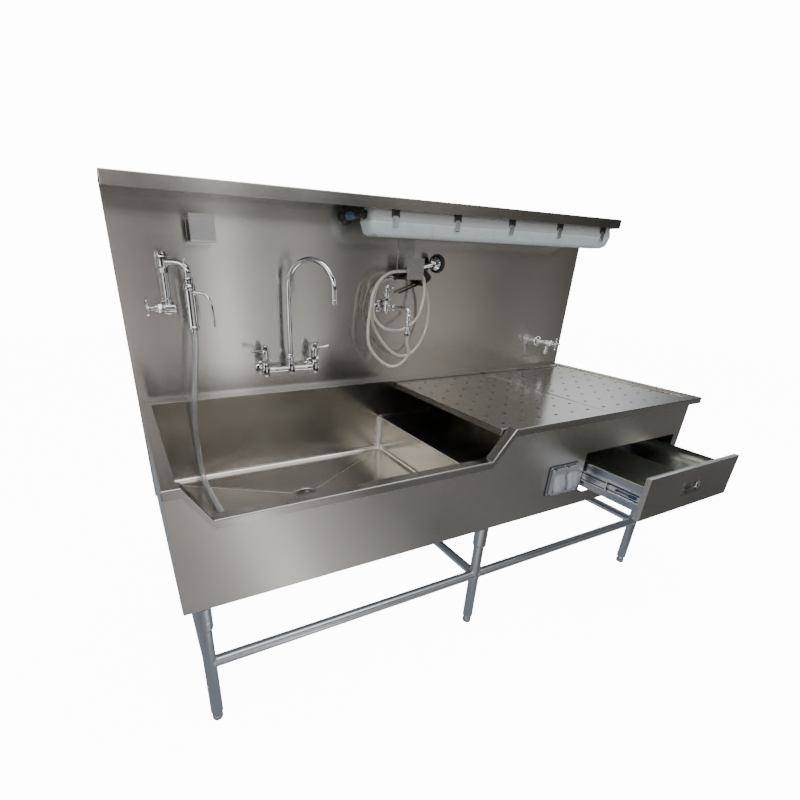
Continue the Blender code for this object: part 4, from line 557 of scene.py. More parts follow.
# Each finish: slot in the record, maker, name of the material and the maker's values, words being properties
STEEL, TUBE, ZINC, CHROME = "satin_steel", "leg_steel", "zinc_plate", "polished_chrome"
SATIN = "steel_roughness"
FINISHES = {
    # The satin steel and tube rows are copies of one stainless steel, each tinted lighter or darker to paint
    # the light and shade its part gets
    "upright_steel": (STEEL, brushed, "satin_steel_upright", "steel_colour", SATIN, ALONG_X, 0.82),
    "apron_steel": (STEEL, brushed, "satin_steel_apron", "steel_colour", 0.33, ALONG_X, 0.6),
    "shelf_steel": (STEEL, brushed, "satin_steel_shelf", (0.50, 0.49, 0.47), SATIN, ALONG_X, 0.45),
    "flat_steel": (STEEL, brushed, "satin_steel_flat", (0.50, 0.484, 0.457), SATIN, ALONG_X),
    "rim_steel": (STEEL, brushed, "satin_steel_rim", (0.475, 0.466, 0.453), SATIN, ALONG_X),
    "bowl_steel": (STEEL, brushed, "satin_steel_bowl", (0.575, 0.554, 0.518), SATIN, ALONG_X, 0.5),
    "hook_steel": (STEEL, brushed, "satin_steel_hook", (0.51, 0.51, 0.515), 0.27, ALONG_X, 0.4),
    "side_steel": (STEEL, brushed, "satin_steel_side", "steel_colour", SATIN, ALONG_Y),
    "drawer_steel": (STEEL, brushed, "drawer_steel", (0.42, 0.44, 0.40), 0.30, ALONG_Y),
    # The drawer side's bluish tint is a painted reflection
    "drawer_side": (STEEL, brushed, "drawer_side_steel", (0.47, 0.51, 0.585), 0.30, ALONG_Y),
    "drain_steel": (CHROME, brushed, "satin_steel_drain", (0.50, 0.49, 0.47), 0.24, ALL_WAYS),
    "leg_steel": (TUBE, brushed, "leg_tube_steel", (0.455, 0.473, 0.505), 0.30, ALONG_Z, 0.0, 0.008),
    "rail_steel": (TUBE, brushed, "rail_tube_steel", "leg_colour", 0.28, ALONG_X, 0.0, 0.008),
    # A dark ring round each panel hole is painted shade of the hole
    "hole_shade": (STEEL, speckled, "pierced_edge", (0.10, 0.098, 0.095), 0.35, 1.0, 900.0, 0.05, 0.10),
    # Pale bead and strip at the bowl's step edge and back corner: painted highlights
    "edge_highlight": (STEEL, speckled, "ground_weld", (0.80, 0.785, 0.76), 0.34, 0.55, 700.0, 0.06, 0.06),
    # Lighter tone along the real cross-break creases: a painted highlight
    "fold": (STEEL, speckled, "fold_line", (0.62, 0.60, 0.56), 0.36, 0.80, 700.0, 0.06, 0.06),
    "weld": (TUBE, speckled, "weld_bead", (0.60, 0.62, 0.65), 0.30, 1.0, 700.0, 0.25, 0.10),
    "chrome": (CHROME, speckled, "plated_chrome", "chrome_colour", 0.055, 1.0, 300.0, 0.0, 0.03),
    # Pull cup and its screws tinted darker: painted shade of the recess
    "cup_shade_steel": (CHROME, speckled, "satin_plate", (0.40, 0.39, 0.375), 0.36, 1.0, 300.0, 0.0, 0.05),
    "zinc": (ZINC, speckled, "zinc_plated_steel", (0.78, 0.82, 0.88), 0.28, 1.0, 260.0, 0.05, 0.16),
    # Dark strips in the slide channels: painted shadow
    "groove": (ZINC, speckled, "slide_groove", (0.045, 0.05, 0.06), 0.40, 0.2, 700.0, 0.06, 0.10),
    # Bulge, lid and cover are copies of one cast grey: the bulge painted lighter as a highlight, the cover
    # painted darker as shade
    "cast": ("cast_grey", speckled, "cast_grey_metal", (0.52, 0.56, 0.61), 0.36, 0.45, 1400.0, 0.18, 0.10),
    "cover": ("cast_grey", speckled, "cast_grey_cover", (0.20, 0.22, 0.245), 0.38, 0.45, 1400.0, 0.18, 0.10),
    "lid": ("cast_grey", speckled, "cast_grey_lid", (0.37, 0.40, 0.44), 0.36, 0.45, 1400.0, 0.18, 0.10),
    "rubber": ("black_rubber", speckled, "matt_rubber", (0.016, 0.016, 0.018), 0.55, 0.0, 1600.0, 0.20, 0.25),
    "black": (
        "black_plastic", speckled, "black_moulding", (0.020, 0.020, 0.023), 0.36, 0.0, 1200.0, 0.14, 0.25
    ),
    "blue_grey": (
        "black_plastic", speckled, "blue_grey_connector", (0.11, 0.20, 0.31), 0.34, 0.0, 900.0, 0.10, 0.20
    ),
    "grey": ("grey_plastic", speckled, "grey_moulding", (0.56, 0.58, 0.60), 0.42, 0.0, 1000.0, 0.10, 0.06),
    "plug": ("grey_plastic", speckled, "end_plug", (0.62, 0.46, 0.42), 0.40, 0.0, 900.0, 0.08, 0.10),
    "blue": ("", speckled, "slide_latch_plastic", (0.02, 0.04, 0.13), 0.35, 0.0, 900.0, 0.08, 0.15),
    "ivory": ("", speckled, "ivory_receptacle", (0.78, 0.74, 0.64), 0.32, 0.0, 900.0, 0.06, 0.05),
    # Dark discs and strips in bores, slots and jets: painted shadow
    "shadow": ("", speckled, "dark_bore", (0.012, 0.012, 0.013), 0.60, 0.0, 900.0, 0.05, 0.10),
    "diffuser": ("", speckled, "milky_diffuser", (0.84, 0.88, 0.91), 0.30, 0.0, 700.0, 0.06, 0.03, MILKY),
    "vinyl": (
        "clear_vinyl", speckled, "clear_vinyl_tube", (0.93, 0.955, 0.97), 0.08, 0.0, 500.0, 0.02, 0.02, CLEAR
    ),
    "hose": ("braided_hose", braided, "reinforced_hose", "hose_colour"),
}


def finish_of(finish):
    """The material of a finish, made at its first use."""
    maker, name, *values = FINISHES[finish][1:]
    values = [getattr(looks(), value) if isinstance(value, str) else value for value in values]
    return bpy.data.materials.get(name) or maker(name, *values)


# Hoses

SPRAY_ROUTE = route_mm(
    (1032, 612, 1045.7), (1032, 612, 1022), (1050, 619, 975), (1030, 640, 933), (996, 660, 917),
    (959, 680, 935), (907, 700, 998), (899, 705, 1073), (909, 705, 1157), (914, 705, 1195),
    (937, 705, 1244), (985, 704, 1280), (1045, 703, 1288), (1100, 702, 1286), (1131, 702, 1280),
    (1151.5, 702, 1264), (1159, 701, 1233), (1157, 700, 1171), (1128, 700, 1100), (1064, 700, 1062),
    (1017, 700, 1060), (972, 704, 1072), (932, 712, 1111), (925, 716, 1160), (935, 717, 1215),
    (965, 718, 1262), (1008, 718, 1283.5), (1055, 718, 1288.5), (1100, 718, 1286.5), (1132, 718, 1280.5),
    (1154, 718, 1265), (1173, 718, 1231), (1201, 720, 1152), (1194, 720, 1043), (1132, 720, 957),
    (1074, 725, 947), (1015, 730, 981), (947, 735, 1066), (928, 738, 1140), (941, 743, 1200),
    (955, 748, 1230),
)
DISCHARGE_ROUTE = route_mm(
    (210, 674, 1084.7), (210, 674, 1060), (200, 670, 980), (188, 666, 900), (180, 668, 840),
    (176, 690, 760), (176, 702, 680), (177, 700, 620), (178, 690, 570), (179, 665, 541),
    (180, 620, 531.5), (182, 550, 531), (186, 460, 530.5), (190, 390, 530.5), (195, 340, 530.5),
)
SPRAY_BORE = 0.0125
DISCHARGE_BORE = 0.022
DISCHARGE_WALL = 0.0028
SPRAY_STEP, DISCHARGE_STEP = 0.008, 0.010
HOSE_STRAIGHT = 0.024
HOSE_FINENESS = 6
GUN_TILT = math.radians(16.6)
GUN_START = Vector((1.000, 0.750, 1.2536))
GUN_WAY = Vector((math.cos(GUN_TILT), 0.0, math.sin(GUN_TILT)))
GUN_HEAD = Vector((1.222, 0.722, 1.319))
GUN_AIM = Vector((0.95, 0.28, 0.12)).normalized()


class STATION_OT_hoses(bpy.types.Operator):
    """Lay the reinforced spray hose and the clear discharge hose"""

    bl_idname = "station.hoses"
    bl_label = "Hoses"

    def execute(self, context):
        route = SPRAY_ROUTE + [tuple(GUN_START - GUN_WAY * back) for back in (HOSE_STRAIGHT, GAP)]
        route = [point + CORNER for point in smooth_route(route, SPRAY_STEP)]
        hose = tube("spray_hose_sleeve", route, SPRAY_BORE / 2, HOSE_FINENESS)
        hose.data.materials.append(finish_of("hose"))
        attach(hose, "station")
        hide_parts("spray_hose")

        route = [point + CORNER for point in smooth_route(DISCHARGE_ROUTE, DISCHARGE_STEP)]
        shape = bmesh.new()
        piped(shape, route, DISCHARGE_BORE / 2, HOSE_FINENESS)
        caps = [face for face in shape.faces if len(face.verts) > 4]
        bmesh.ops.delete(shape, geom=caps, context="FACES_ONLY")
        hose = piece(
            "discharge_hose_tube", shape, "vinyl", stands_for=("discharge_hose",), crease=60.0, placed=True
        )
        wall = hose.modifiers.new("wall", "SOLIDIFY")
        wall.thickness = DISCHARGE_WALL
        wall.offset = -1.0
        return {"FINISHED"}


# Sheet metal

STEP_Z = WORK_Z - 0.1600
FLOOR_Z = WORK_Z - 0.316
DRAIN = Vector((0.519, 0.443, 0.5103))
HOLE_PITCH = 0.090
HIGHLIGHT_INSET, HIGHLIGHT_MARGIN, HIGHLIGHT_RADIUS = 0.0004, 0.016, 0.0016
BOWL_RIGHT = 0.010
FOLD_NEAR, FOLD_FAR, FOLD_START, FOLD_RADIUS = 0.060, 0.024, 0.060, 0.0011
HOLE_SHADE_RIM = mm(4.6, 0, 5, 0.4, 6.2, 0.4, 7, 0, 6.2, -0.4)


def grid_line(first, last):
    """Even hole places between two panel edges."""
    margin = HOLE_PITCH / 2
    count = max(2, int((last - first - 2 * margin) / HOLE_PITCH + 1.5))
    return [first + margin + (last - first - 2 * margin) / (count - 1) * index for index in range(count)]


class STATION_OT_sheet_metal(bpy.types.Operator):
    """Dress the rim, apron, backsplash, shelf, pan, hooks and hangers as brushed sheet"""

    bl_idname = "station.sheet_metal"
    bl_label = "Sheet metal"

    def execute(self, context):
        dressed("front_apron", "apron_steel")
        dressed("backsplash", "upright_steel")
        dressed("overhead_shelf", "shelf_steel")
        dressed("top_rim", "rim_steel")
        dressed("drain_pan", "flat_steel", edge=0.0)
        dressed("sink_bowl", "bowl_steel", edge=0.0)
        for side in ("left", "right"):
            dressed("hook_" + side, "hook_steel")
            dressed("drawer_hanger_" + side, "side_steel", edge=0.0)
            panel = "worktop_panel_" + side
            dressed(panel, "flat_steel", edge=0.0)
            # Dark rings round the panel holes: painted shade
            hole_shades = bmesh.new()
            low, high = box_of(panel)
            for x in grid_line(low.x, high.x):
                for y in grid_line(low.y, high.y):
                    turned(hole_shades, HOLE_SHADE_RIM, (x, y, high.z), sides=16)
            piece("panel_hole_rims_" + side, hole_shades, "hole_shade", panel, crease=60.0)

        step, far = box_of("drain_pan")
        edge, right = step.x + HIGHLIGHT_INSET, step.x + BOWL_RIGHT
        # A pale bead along the bowl's step edge: a painted highlight
        edge_highlight = bmesh.new()
        ends = [(edge, y, STEP_Z) for y in (step.y + HIGHLIGHT_MARGIN, far.y - HIGHLIGHT_MARGIN)]
        rod(edge_highlight, *ends, HIGHLIGHT_RADIUS, sides=16)
        piece("bowl_step_bead", edge_highlight, "edge_highlight", crease=50.0)
        # A pale strip up the bowl's back right cove: a painted highlight
        low = FLOOR_Z + 0.016
        section = []
        for bend, reach, turns in ((0.018, 0.018, arc(0, 90, 10)), (0.010, 0.0108, arc(90, 0, 10))):
            for cos, sin in turns:
                section.append((right - bend + reach * cos, far.y - 0.002 - bend + reach * sin, low))
        weld = bmesh.new()
        prism(weld, section, UP * (STEP_Z - low))
        piece("bowl_corner_weld", weld, "edge_highlight", crease=50.0)
        # Rods on the bowl's real cross-break creases, in a lighter tone: a painted highlight
        folds = bmesh.new()
        for x in (FOLD_NEAR, right - FOLD_FAR):
            for y in (FOLD_NEAR, far.y - FOLD_FAR):
                way = Vector((x - DRAIN.x, y - DRAIN.y, 0)).normalized()
                start = Vector((DRAIN.x, DRAIN.y, FLOOR_Z - 0.0123)) + way * FOLD_START
                rod(folds, start, (x, y, FLOOR_Z - 0.0004), FOLD_RADIUS, sides=8)
        piece("bowl_fold_lines", folds, "fold", crease=60.0)
        return {"FINISHED"}


# Stand

LEGS_X = (0.055, 1.052, LENGTH - 0.115)
LEGS_Y = (0.052, 0.742)
LEG_RADIUS = 0.019
RAIL_RADIUS = 0.0174
RAIL_Z = 0.234
SCREW_Z, SCREW_REACH = 0.402, 0.0236
BEAD_RADIUS, BEAD_LIFT = 0.0017, 0.0004
LEG = mm(6.3, 30.2, 17.5, 30.2, 19, 31.5, 19, 439.5, 6.3, 439.5)
SLEEVE = mm(
    19.4, 368.5, 21.8, 368, 23.6, 370, 24.4, 376, 24.4, 448, 25.6, 450.5, 26.2, 451.8, 19.4, 451.8
)
SLEEVE_SCREW = mm(0, 0, 4.2, 0, 4.2, 1.6, 2.2, 1.8, 2, 0.8, 0, 0.8)
FOOT = mm(
    0, 0, 13.5, 0, 15.5, 1, 16.5, 3.4, 16.5, 15, 15, 16.2, 15, 20.5, 12.5, 27, 9, 29.6, 6, 29.7, 6, 74,
    0, 74.5,
)


class STATION_OT_stand(bpy.types.Operator):
    """Make the leg tubes, sleeves, rails with their weld beads, and levelling feet"""

    bl_idname = "station.stand"
    bl_label = "Stand"

    def execute(self, context):
        tubes, sleeves, screws = bmesh.new(), bmesh.new(), bmesh.new()
        front, rear = LEGS_Y
        for y, way in ((front, Vector((0.35, -0.94, 0))), (rear, Vector((-0.35, 0.94, 0)))):
            for x in LEGS_X:
                turned(tubes, LEG, (x, y, 0))
                turned(sleeves, SLEEVE, (x, y, 0))
                turned(screws, SLEEVE_SCREW, Vector((x, y, SCREW_Z)) + way * SCREW_REACH, way, 18)
        piece("leg_tubes", tubes, "leg_steel", stands_for=("leg_frame",))
        piece("leg_sleeves", sleeves, "leg_steel", slot=STEEL)
        piece("sleeve_screws", screws, "zinc")

        rails, beads = bmesh.new(), bmesh.new()
        runs = [((x, front, RAIL_Z), (x, rear, RAIL_Z)) for x in LEGS_X]
        runs += [((a, front, RAIL_Z), (b, front, RAIL_Z)) for a, b in zip(LEGS_X, LEGS_X[1:])]
        for start, end in runs:
            rod(rails, start, end, RAIL_RADIUS)
            way = (Vector(end) - Vector(start)).normalized()
            for spot, turn in ((Vector(start), way), (Vector(end), -way)):
                across = turn.cross(UP)
                bead = []
                for side, rise in ring(36, RAIL_RADIUS):
                    out = math.sqrt(LEG_RADIUS ** 2 - side ** 2) + BEAD_LIFT
                    bead.append(spot + turn * out + across * side + UP * rise)
                piped(beads, bead, BEAD_RADIUS, 3, True)
        piece("leg_rails", rails, "rail_steel")
        piece("rail_weld_beads", beads, "weld")

        for row, y in (("front", front), ("rear", rear)):
            for side, x in zip(("left", "middle", "right"), LEGS_X):
                foot = bmesh.new()
                turned(foot, FOOT, (x, y, 0))
                nut(foot, Vector((x, y, 0)), UP, 0.0148, 0.0222, 0.0163, 0.0006)
                name = "foot_%s_%s" % (row, side)
                piece(name + "_bullet", foot, "leg_steel", name, (name,))
        return {"FINISHED"}


# Drain

DRAIN_BODY = mm(
    56, 0, 56.2, 0.8, 54.5, 1.9, 52, 2.5, 41.5, 2.5, 40.2, 1.4, 40, -10, 35, -10, 35, -22, 17, -38,
    17, -150.3, 19, -150.3, 19, -90, 20.5, -89, 20.5, -84, 19, -83, 19, -42, 43, -26, 43, 0,
)
STRAINER = mm(
    0, 0, 38, 0, 38.5, 1.2, 37.8, 2.5, 4.5, 2.7, 3.6, 5, 3.6, 13.5, 7.8, 15.6, 8.5, 18, 8, 20.8,
    5, 21.9, 0, 22,
)
STRAINER_HOLE = mm(0, 0.3, 1.7, 0.3, 2.2, 0.1, 2.2, -0.4, 0, -0.4)
STRAINER_DROP, STRAINER_TOP = 0.0097, 0.00245
STRAINER_RINGS = ((0.015, 10), (0.0235, 16), (0.0315, 22))
DRAIN_NUT_Z, DRAIN_NUT_RADIUS = (-0.062, -0.046), 0.0265


class STATION_OT_drain(bpy.types.Operator):
    """Make the drain flange with its tailpiece and the lift-out strainer"""

    bl_idname = "station.drain"
    bl_label = "Drain"

    def execute(self, context):
        body = bmesh.new()
        turned(body, DRAIN_BODY, DRAIN, sides=56)
        ends = [DRAIN + UP * rise for rise in DRAIN_NUT_Z]
        rod(body, *ends, DRAIN_NUT_RADIUS, sides=8, soft=0.001)
        piece("drain_flange", body, "drain_steel", stands_for=("drain_body",))
        rest = DRAIN - UP * STRAINER_DROP
        disc = bmesh.new()
        turned(disc, STRAINER, rest, sides=48)
        piece("strainer_disc", disc, "drain_steel", "drain_strainer", ("drain_strainer",))
        # Dark discs in the strainer's holes: painted shadow
        holes = bmesh.new()
        for radius, count in STRAINER_RINGS:
            for x, y in ring(count, radius):
                turned(holes, STRAINER_HOLE, rest + Vector((x, y, STRAINER_TOP)), sides=10)
        piece("strainer_holes", holes, "shadow", "drain_strainer")
        return {"FINISHED"}


# Drawer

DRAWER_X = centre_of("pull_cup").x
DRAWER_Z = centre_of("pull_cup").z
FACE_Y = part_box("drawer_front")[0].y - CORNER.y
SLIDE_Z = 0.5795
SLIDES = (("left", 1.511, 1), ("right", 2.070, -1))
RIVETS_Y = (0.024, 0.150, 0.215, 0.320, 0.455)
RIVET = mm(0, 0, 5.2, 0, 5, 0.8, 3, 1.6, 0, 1.8)
PULL_SCREW = mm(0, 0, 2.8, 0, 2.6, 0.6, 1.4, 1, 0, 1)
HEM_X = (1.5262, 2.0548)
HEM_Y = (FACE_Y + 0.0205, FACE_Y + 0.519)
HEM_Z = 0.6292
HEM_RADIUS = 0.0016
BAIL_ARM, BAIL_DROP, BAIL_BEND, BAIL_WIRE = 0.040, 0.022, 0.0058, 0.003
PULL_SCREW_X = 0.0525

# Strips on the slides: their depths in the slide, and their rises from its middle; the groove and line strips
# are painted shadow
LATCH_DEPTHS, GROOVE_DEPTHS, LINE_DEPTHS = (0.0068, 0.0112), (0.0110, 0.0116), (0.0024, 0.0028)
GROOVE_RISES = ((0.0085, 0.0150), (-0.0150, -0.0105))
LINE_RISES = ((0.0100, 0.0150), (-0.0150, -0.0115))
GROOVE_RUN = (FACE_Y + 0.026, FACE_Y + 0.505)

# Each block of a latch: its run behind the drawer's face, its rise from the slide's middle, its edge round
LATCH = (
    (0.034, 0.062, -0.0055, 0.0045, 0.0016),
    (0.058, 0.112, -0.0018, 0.0024, 0.0010),
    (0.104, 0.114, -0.0040, 0.0040, 0.0010),
)


def slide_strip(shape, edge, way, depths, run, rise, soft=0.0):
    """Adds a strip on a drawer slide: its depths in the slide, its run along it, its rise from the middle."""
    low, high = sorted(edge + way * depth for depth in depths)
    block(shape, (low, run[0], SLIDE_Z + rise[0]), (high, run[1], SLIDE_Z + rise[1]), soft)


class STATION_OT_drawer(bpy.types.Operator):
    """Dress the drawer front, box, pull and slides, with their latch, rivets and screws"""

    bl_idname = "station.drawer"
    bl_label = "Drawer"

    def execute(self, context):
        dressed("drawer_front", "apron_steel", edge=0.0)
        dressed("drawer_box", "drawer_steel", edge=0.0)
        # The pull cup is tinted darker: painted shade of its recess
        dressed("pull_cup", "cup_shade_steel", edge=0.0003)
        pivot = Vector((DRAWER_X, FACE_Y + 0.0045, DRAWER_Z + 0.011))
        line = [(-0.0474, 0.0), (-0.0440, 0.0), (-BAIL_ARM, -0.0035)]
        for way, first in ((-1, 180), (1, 270)):
            x, z = way * (BAIL_ARM - BAIL_BEND), BAIL_BEND - BAIL_DROP
            line += [(x + BAIL_BEND * cos, z + BAIL_BEND * sin) for cos, sin in arc(first, first + 90, 8)]
        line += [(BAIL_ARM, -0.0035), (0.0440, 0.0), (0.0474, 0.0)]
        bail = bmesh.new()
        piped(bail, [pivot + Vector((x, 0, z)) for x, z in line], BAIL_WIRE, 5)
        piece("bail_wire", bail, "chrome", "pull_bail", ("pull_bail",), 50.0)
        # The pull screws take the same painted shade
        screws = bmesh.new()
        for x in (-PULL_SCREW_X, PULL_SCREW_X):
            turned(screws, PULL_SCREW, (DRAWER_X + x, FACE_Y - 0.0014, DRAWER_Z), FORWARD, 20)
        piece("pull_screws", screws, "cup_shade_steel", "drawer")

        for side, edge, way in SLIDES:
            for stage in ("outer", "middle", "inner"):
                dressed("slide_%s_%s" % (stage, side), "zinc", edge=0.0002)
            latch = bmesh.new()
            for start, end, low, high, soft in LATCH:
                run = (FACE_Y + start, FACE_Y + end)
                slide_strip(latch, edge, way, LATCH_DEPTHS, run, (low, high), soft)
            piece("slide_latch_" + side, latch, "blue", "drawer")
            # Dark strips in the slide channel and along the middle member: painted shadow
            groove = bmesh.new()
            for rise in GROOVE_RISES:
                slide_strip(groove, edge, way, GROOVE_DEPTHS, GROOVE_RUN, rise)
            piece("slide_groove_" + side, groove, "groove", "drawer")
            line = bmesh.new()
            low, high = box_of("slide_middle_" + side)
            for rise in LINE_RISES:
                slide_strip(line, edge, way, LINE_DEPTHS, (low.y + 0.004, high.y - 0.004), rise)
            piece("slide_line_" + side, line, "groove", "slide_middle")
            low, high = box_of("drawer_box")
            x = low.x if way > 0 else high.x
            # A bluish skin on the drawer side: painted reflection
            skin = bmesh.new()
            near, far = (x - GAP, low.y + 0.002, low.z + 0.001), (x + GAP, high.y - 0.002, high.z - 0.003)
            block(skin, near, far)
            piece("drawer_skin_" + side, skin, "drawer_side", "drawer")
            rivets = bmesh.new()
            for y in RIVETS_Y:
                turned(rivets, RIVET, (edge + way * 0.0116, FACE_Y + y, SLIDE_Z), (-way, 0, 0), 20)
            piece("slide_rivets_" + side, rivets, "zinc", "drawer")
        beads = bmesh.new()
        for x in HEM_X:
            rod(beads, (x, HEM_Y[0], HEM_Z), (x, HEM_Y[1], HEM_Z), HEM_RADIUS, sides=12)
        rod(beads, (HEM_X[0], HEM_Y[1], HEM_Z), (HEM_X[1], HEM_Y[1], HEM_Z), HEM_RADIUS, sides=12)
        piece("drawer_hem", beads, "side_steel", "drawer")
        return {"FINISHED"}


# Outlet

OUTLET = centre_of("outlet_cover")
COVER_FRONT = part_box("outlet_cover")[0].y - CORNER.y
APRON_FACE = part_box("outlet_cover")[1].y - CORNER.y + GAP
HINGE_Y, HINGE_Z = COVER_FRONT - 0.0045, OUTLET.z + 0.046
LID_FACE = COVER_FRONT - 0.0095
LID_X = 0.034
EARTH_HOLE = mm(0, 0, 2.4, 0, 2.4, 0.8, 0, 0.8)
COVER_SCREW = mm(0, 0, 3.4, 0, 3.2, 0.8, 1.8, 1.4, 0, 1.5)


def hood_rows():
    """Rows of a lid's hood: it deepens and narrows towards its lower edge."""
    rows = []
    for step in range(13):
        share = step / 12
        depth = 0.0245 * math.sin(math.radians(90 * share)) ** 0.8
        rows.append((OUTLET.z + 0.037 - 0.067 * share, 0.0275 - 0.0035 * share ** 2, depth))
    return rows


def mouth_rows():
    """Rows of the lip under a lid's hood."""
    rows = [(OUTLET.z - 0.0302, 0.0195, 0.0)]
    for step in range(9):
        share = step / 8
        depth = 0.0150 - 0.0060 * share ** 2
        rows.append((OUTLET.z - 0.0306 - 0.0165 * share, 0.0195 - 0.0020 * share, depth))
    return rows


def around(shape, x, y, z, half_x, low_z, high_z, soft=0.0):
    """Adds a block about an upright line: its two depths and its rise from a height."""
    block(shape, (x - half_x, y[0], z + low_z), (x + half_x, y[1], z + high_z), soft)


class STATION_OT_outlet(bpy.types.Operator):
    """Make the two-gang outlet: gasket, cast cover, bulged spring lids, screws and receptacle faces"""

    bl_idname = "station.outlet"
    bl_label = "Outlet"

    def execute(self, context):
        gasket = bmesh.new()
        depths = (APRON_FACE - 0.0032, APRON_FACE - 0.0001)
        around(gasket, OUTLET.x, depths, OUTLET.z, 0.0746, -0.0602, 0.0602, 0.0012)
        piece("outlet_gasket", gasket, "rubber")
        dressed("outlet_box", "zinc", edge=0.0)
        # The cover is tinted darker than the lids: painted shade
        dressed("outlet_cover", "cover", edge=0.0)
        for side, way in (("left", -1), ("right", 1)):
            x = OUTLET.x + way * LID_X
            lid = "outlet_lid_" + side
            dressed(lid, "lid", edge=0.0008)
            # The bulge is tinted lighter than the lid: a painted highlight
            bulge = bmesh.new()
            for rows in (hood_rows(), mouth_rows()):
                bump(bulge, x, LID_FACE, rows)
            rod(bulge, (x - 0.0305, HINGE_Y, HINGE_Z), (x + 0.0305, HINGE_Y, HINGE_Z), 0.0043, sides=24)
            depths = (COVER_FRONT - 0.0185, COVER_FRONT - 0.0120)
            around(bulge, x, depths, OUTLET.z, 0.014, -0.0515, -0.0455, 0.0012)
            piece("lid_bulge_" + side, bulge, "cast", lid, crease=50.0)
            springs = bmesh.new()
            for near in (x - 0.0245, x - 0.0185):
                ends = [(near + shift, HINGE_Y, HINGE_Z) for shift in (0.0, 0.0030)]
                rod(springs, *ends, 0.0056, sides=24, soft=0.0006)
            piece("lid_spring_" + side, springs, "black", lid)
            # Dark slots and earth holes in the receptacle faces: painted shadow
            faces, slots = bmesh.new(), bmesh.new()
            for z in (OUTLET.z - 0.0165, OUTLET.z + 0.0195):
                depths = (COVER_FRONT + 0.0004, COVER_FRONT + 0.0022)
                around(faces, x, depths, z, 0.0155, -0.0150, 0.0140, 0.0008)
                for shift, tall in ((-0.0065, 0.0045), (0.0065, 0.0035)):
                    depths = (COVER_FRONT + 0.0002, COVER_FRONT + 0.0010)
                    around(slots, x + shift, depths, z, 0.0012, -tall, tall)
                turned(slots, EARTH_HOLE, (x, COVER_FRONT + 0.0010, z - 0.0100), FORWARD, 20)
            piece("receptacle_faces_" + side, faces, "ivory")
            piece("receptacle_slots_" + side, slots, "shadow")
        screws = bmesh.new()
        for x in (-0.066, 0.0, 0.066):
            for z in (-0.0525, 0.0540):
                turned(screws, COVER_SCREW, (OUTLET.x + x, COVER_FRONT, OUTLET.z + z), FORWARD, 20)
        piece("cover_screws", screws, "zinc")
        return {"FINISHED"}


# Taps

PIPE_STEP = 0.004


def shank(shape, x, z, flange, neck, reach):
    """Adds a tap's wall connection: lock nut behind, domed flange and neck before the backsplash."""
    profile = mm(0, -34, 9.5, -34, 10.5, -33, 10.5, 0.3)
    profile += [(flange, 0.0003), (flange, 0.0018), (flange * 0.985, 0.0032), (flange * 0.90, 0.0056)]
    profile += [(flange * 0.76, 0.0080), (neck + 0.0030, 0.0098), (neck + 0.0008, 0.0112), (neck, 0.0132)]
    profile += [(neck, reach), (0.0, reach)]
    wall = Vector((x, WALL, z))
    turned(shape, profile, wall, FORWARD)
    nut(shape, wall, BACK, 0.0024, 0.0114, 0.0170)


def cross_handle(shape, base, axis, stem, span):
    """Adds a four-arm handle with ball ends and a domed cap."""
    hub = mm(0, 0, 6.6, 0, 7, 1)
    for radius, rise in mm(7, -9, 9, -6.6, 10.4, -4, 10.4, 4, 9, 6.2, 6.6, 7.4, 5.2, 7.9, 0, 8):
        hub.append((radius, stem + rise))
    turned(shape, hub, base, axis)
    arm = mm(0, 4, 3.4, 4, 3.1, 12)
    for radius, rise in mm(4, -8.5, 5, -6, 5.2, -3.8, 4.4, -1.4, 2.4, -0.2, 0, 0):
        arm.append((radius, span + rise))
    across = axis.orthogonal().normalized()
    for quarter in range(4):
        way = Matrix.Rotation(math.radians(45 + 90 * quarter), 3, axis) @ across
        turned(shape, arm, base + axis * stem, way, 22)


def heading(angle):
    """A level direction at an angle in degrees."""
    return Vector((math.cos(math.radians(angle)), math.sin(math.radians(angle)), 0))


def tapered(shape, start, end, near, far, sides):
    """Adds a turned arm between two points: a profile from its start, and one back from its end."""
    reach = (end - start).length
    turned(shape, near + [(radius, reach + rise) for radius, rise in far], start, end - start, sides)


FAUCET = Vector((0.566, WALL - 0.052, 0.929))
FAUCET_HALF = Vector((0.1015, 0, 0))
SPOUT_BEND, SPOUT_RADIUS, SPOUT_TURN = 0.1, 0.0095, 303
SPOUT_SEAT, SPOUT_RISE, SPOUT_END = 0.0260, 0.293, 0.253
LEVER_SEAT = 0.0600
LEVERS = (("left", -1, 205), ("right", 1, 0))
FAUCET_BAR = mm(
    0, 0, 10.5, 0, 10.5, 30, 11.6, 33, 11.6, 40, 10.5, 43, 10.5, 160, 11.6, 163, 11.6, 170, 10.5, 173,
    10.5, 203, 0, 203,
)
FAUCET_VALVE = mm(
    0, -24, 8.2, -23.8, 11.2, -22.4, 14, -18.5, 15.6, -12, 15.9, -4, 15.9, 12, 15.2, 19, 13.2, 26,
    13, 29, 13, 50, 14.6, 51.8, 14.8, 53, 14.8, 59, 14, 59.7, 0, 59.7,
)
FAUCET_HUB = mm(
    0, -18, 10, -17.8, 13.8, -15.8, 16, -11, 16.6, -3, 16.4, 10, 15, 16, 14.5, 20, 14.5, 25, 13.8, 25.7,
    0, 25.7,
)
SPOUT_COLLAR = mm(
    0, 0, 14, 0, 15.2, 1.4, 15.5, 3.4, 15.5, 7, 14.8, 8, 15.5, 9, 15.5, 19, 14.4, 23.2, 12.2, 27,
    11.1, 32, 10.6, 36, 0, 36,
)
SPOUT_TIP = mm(
    0, 2, 6.2, 2, 6.6, -3, 8.8, -4, 10.1, -3.6, 10.9, -2, 10.9, 1.6, 10.3, 2.2, 10.9, 2.8, 10.9, 9.6,
    9.8, 11.8, 8.6, 13, 0, 13,
)
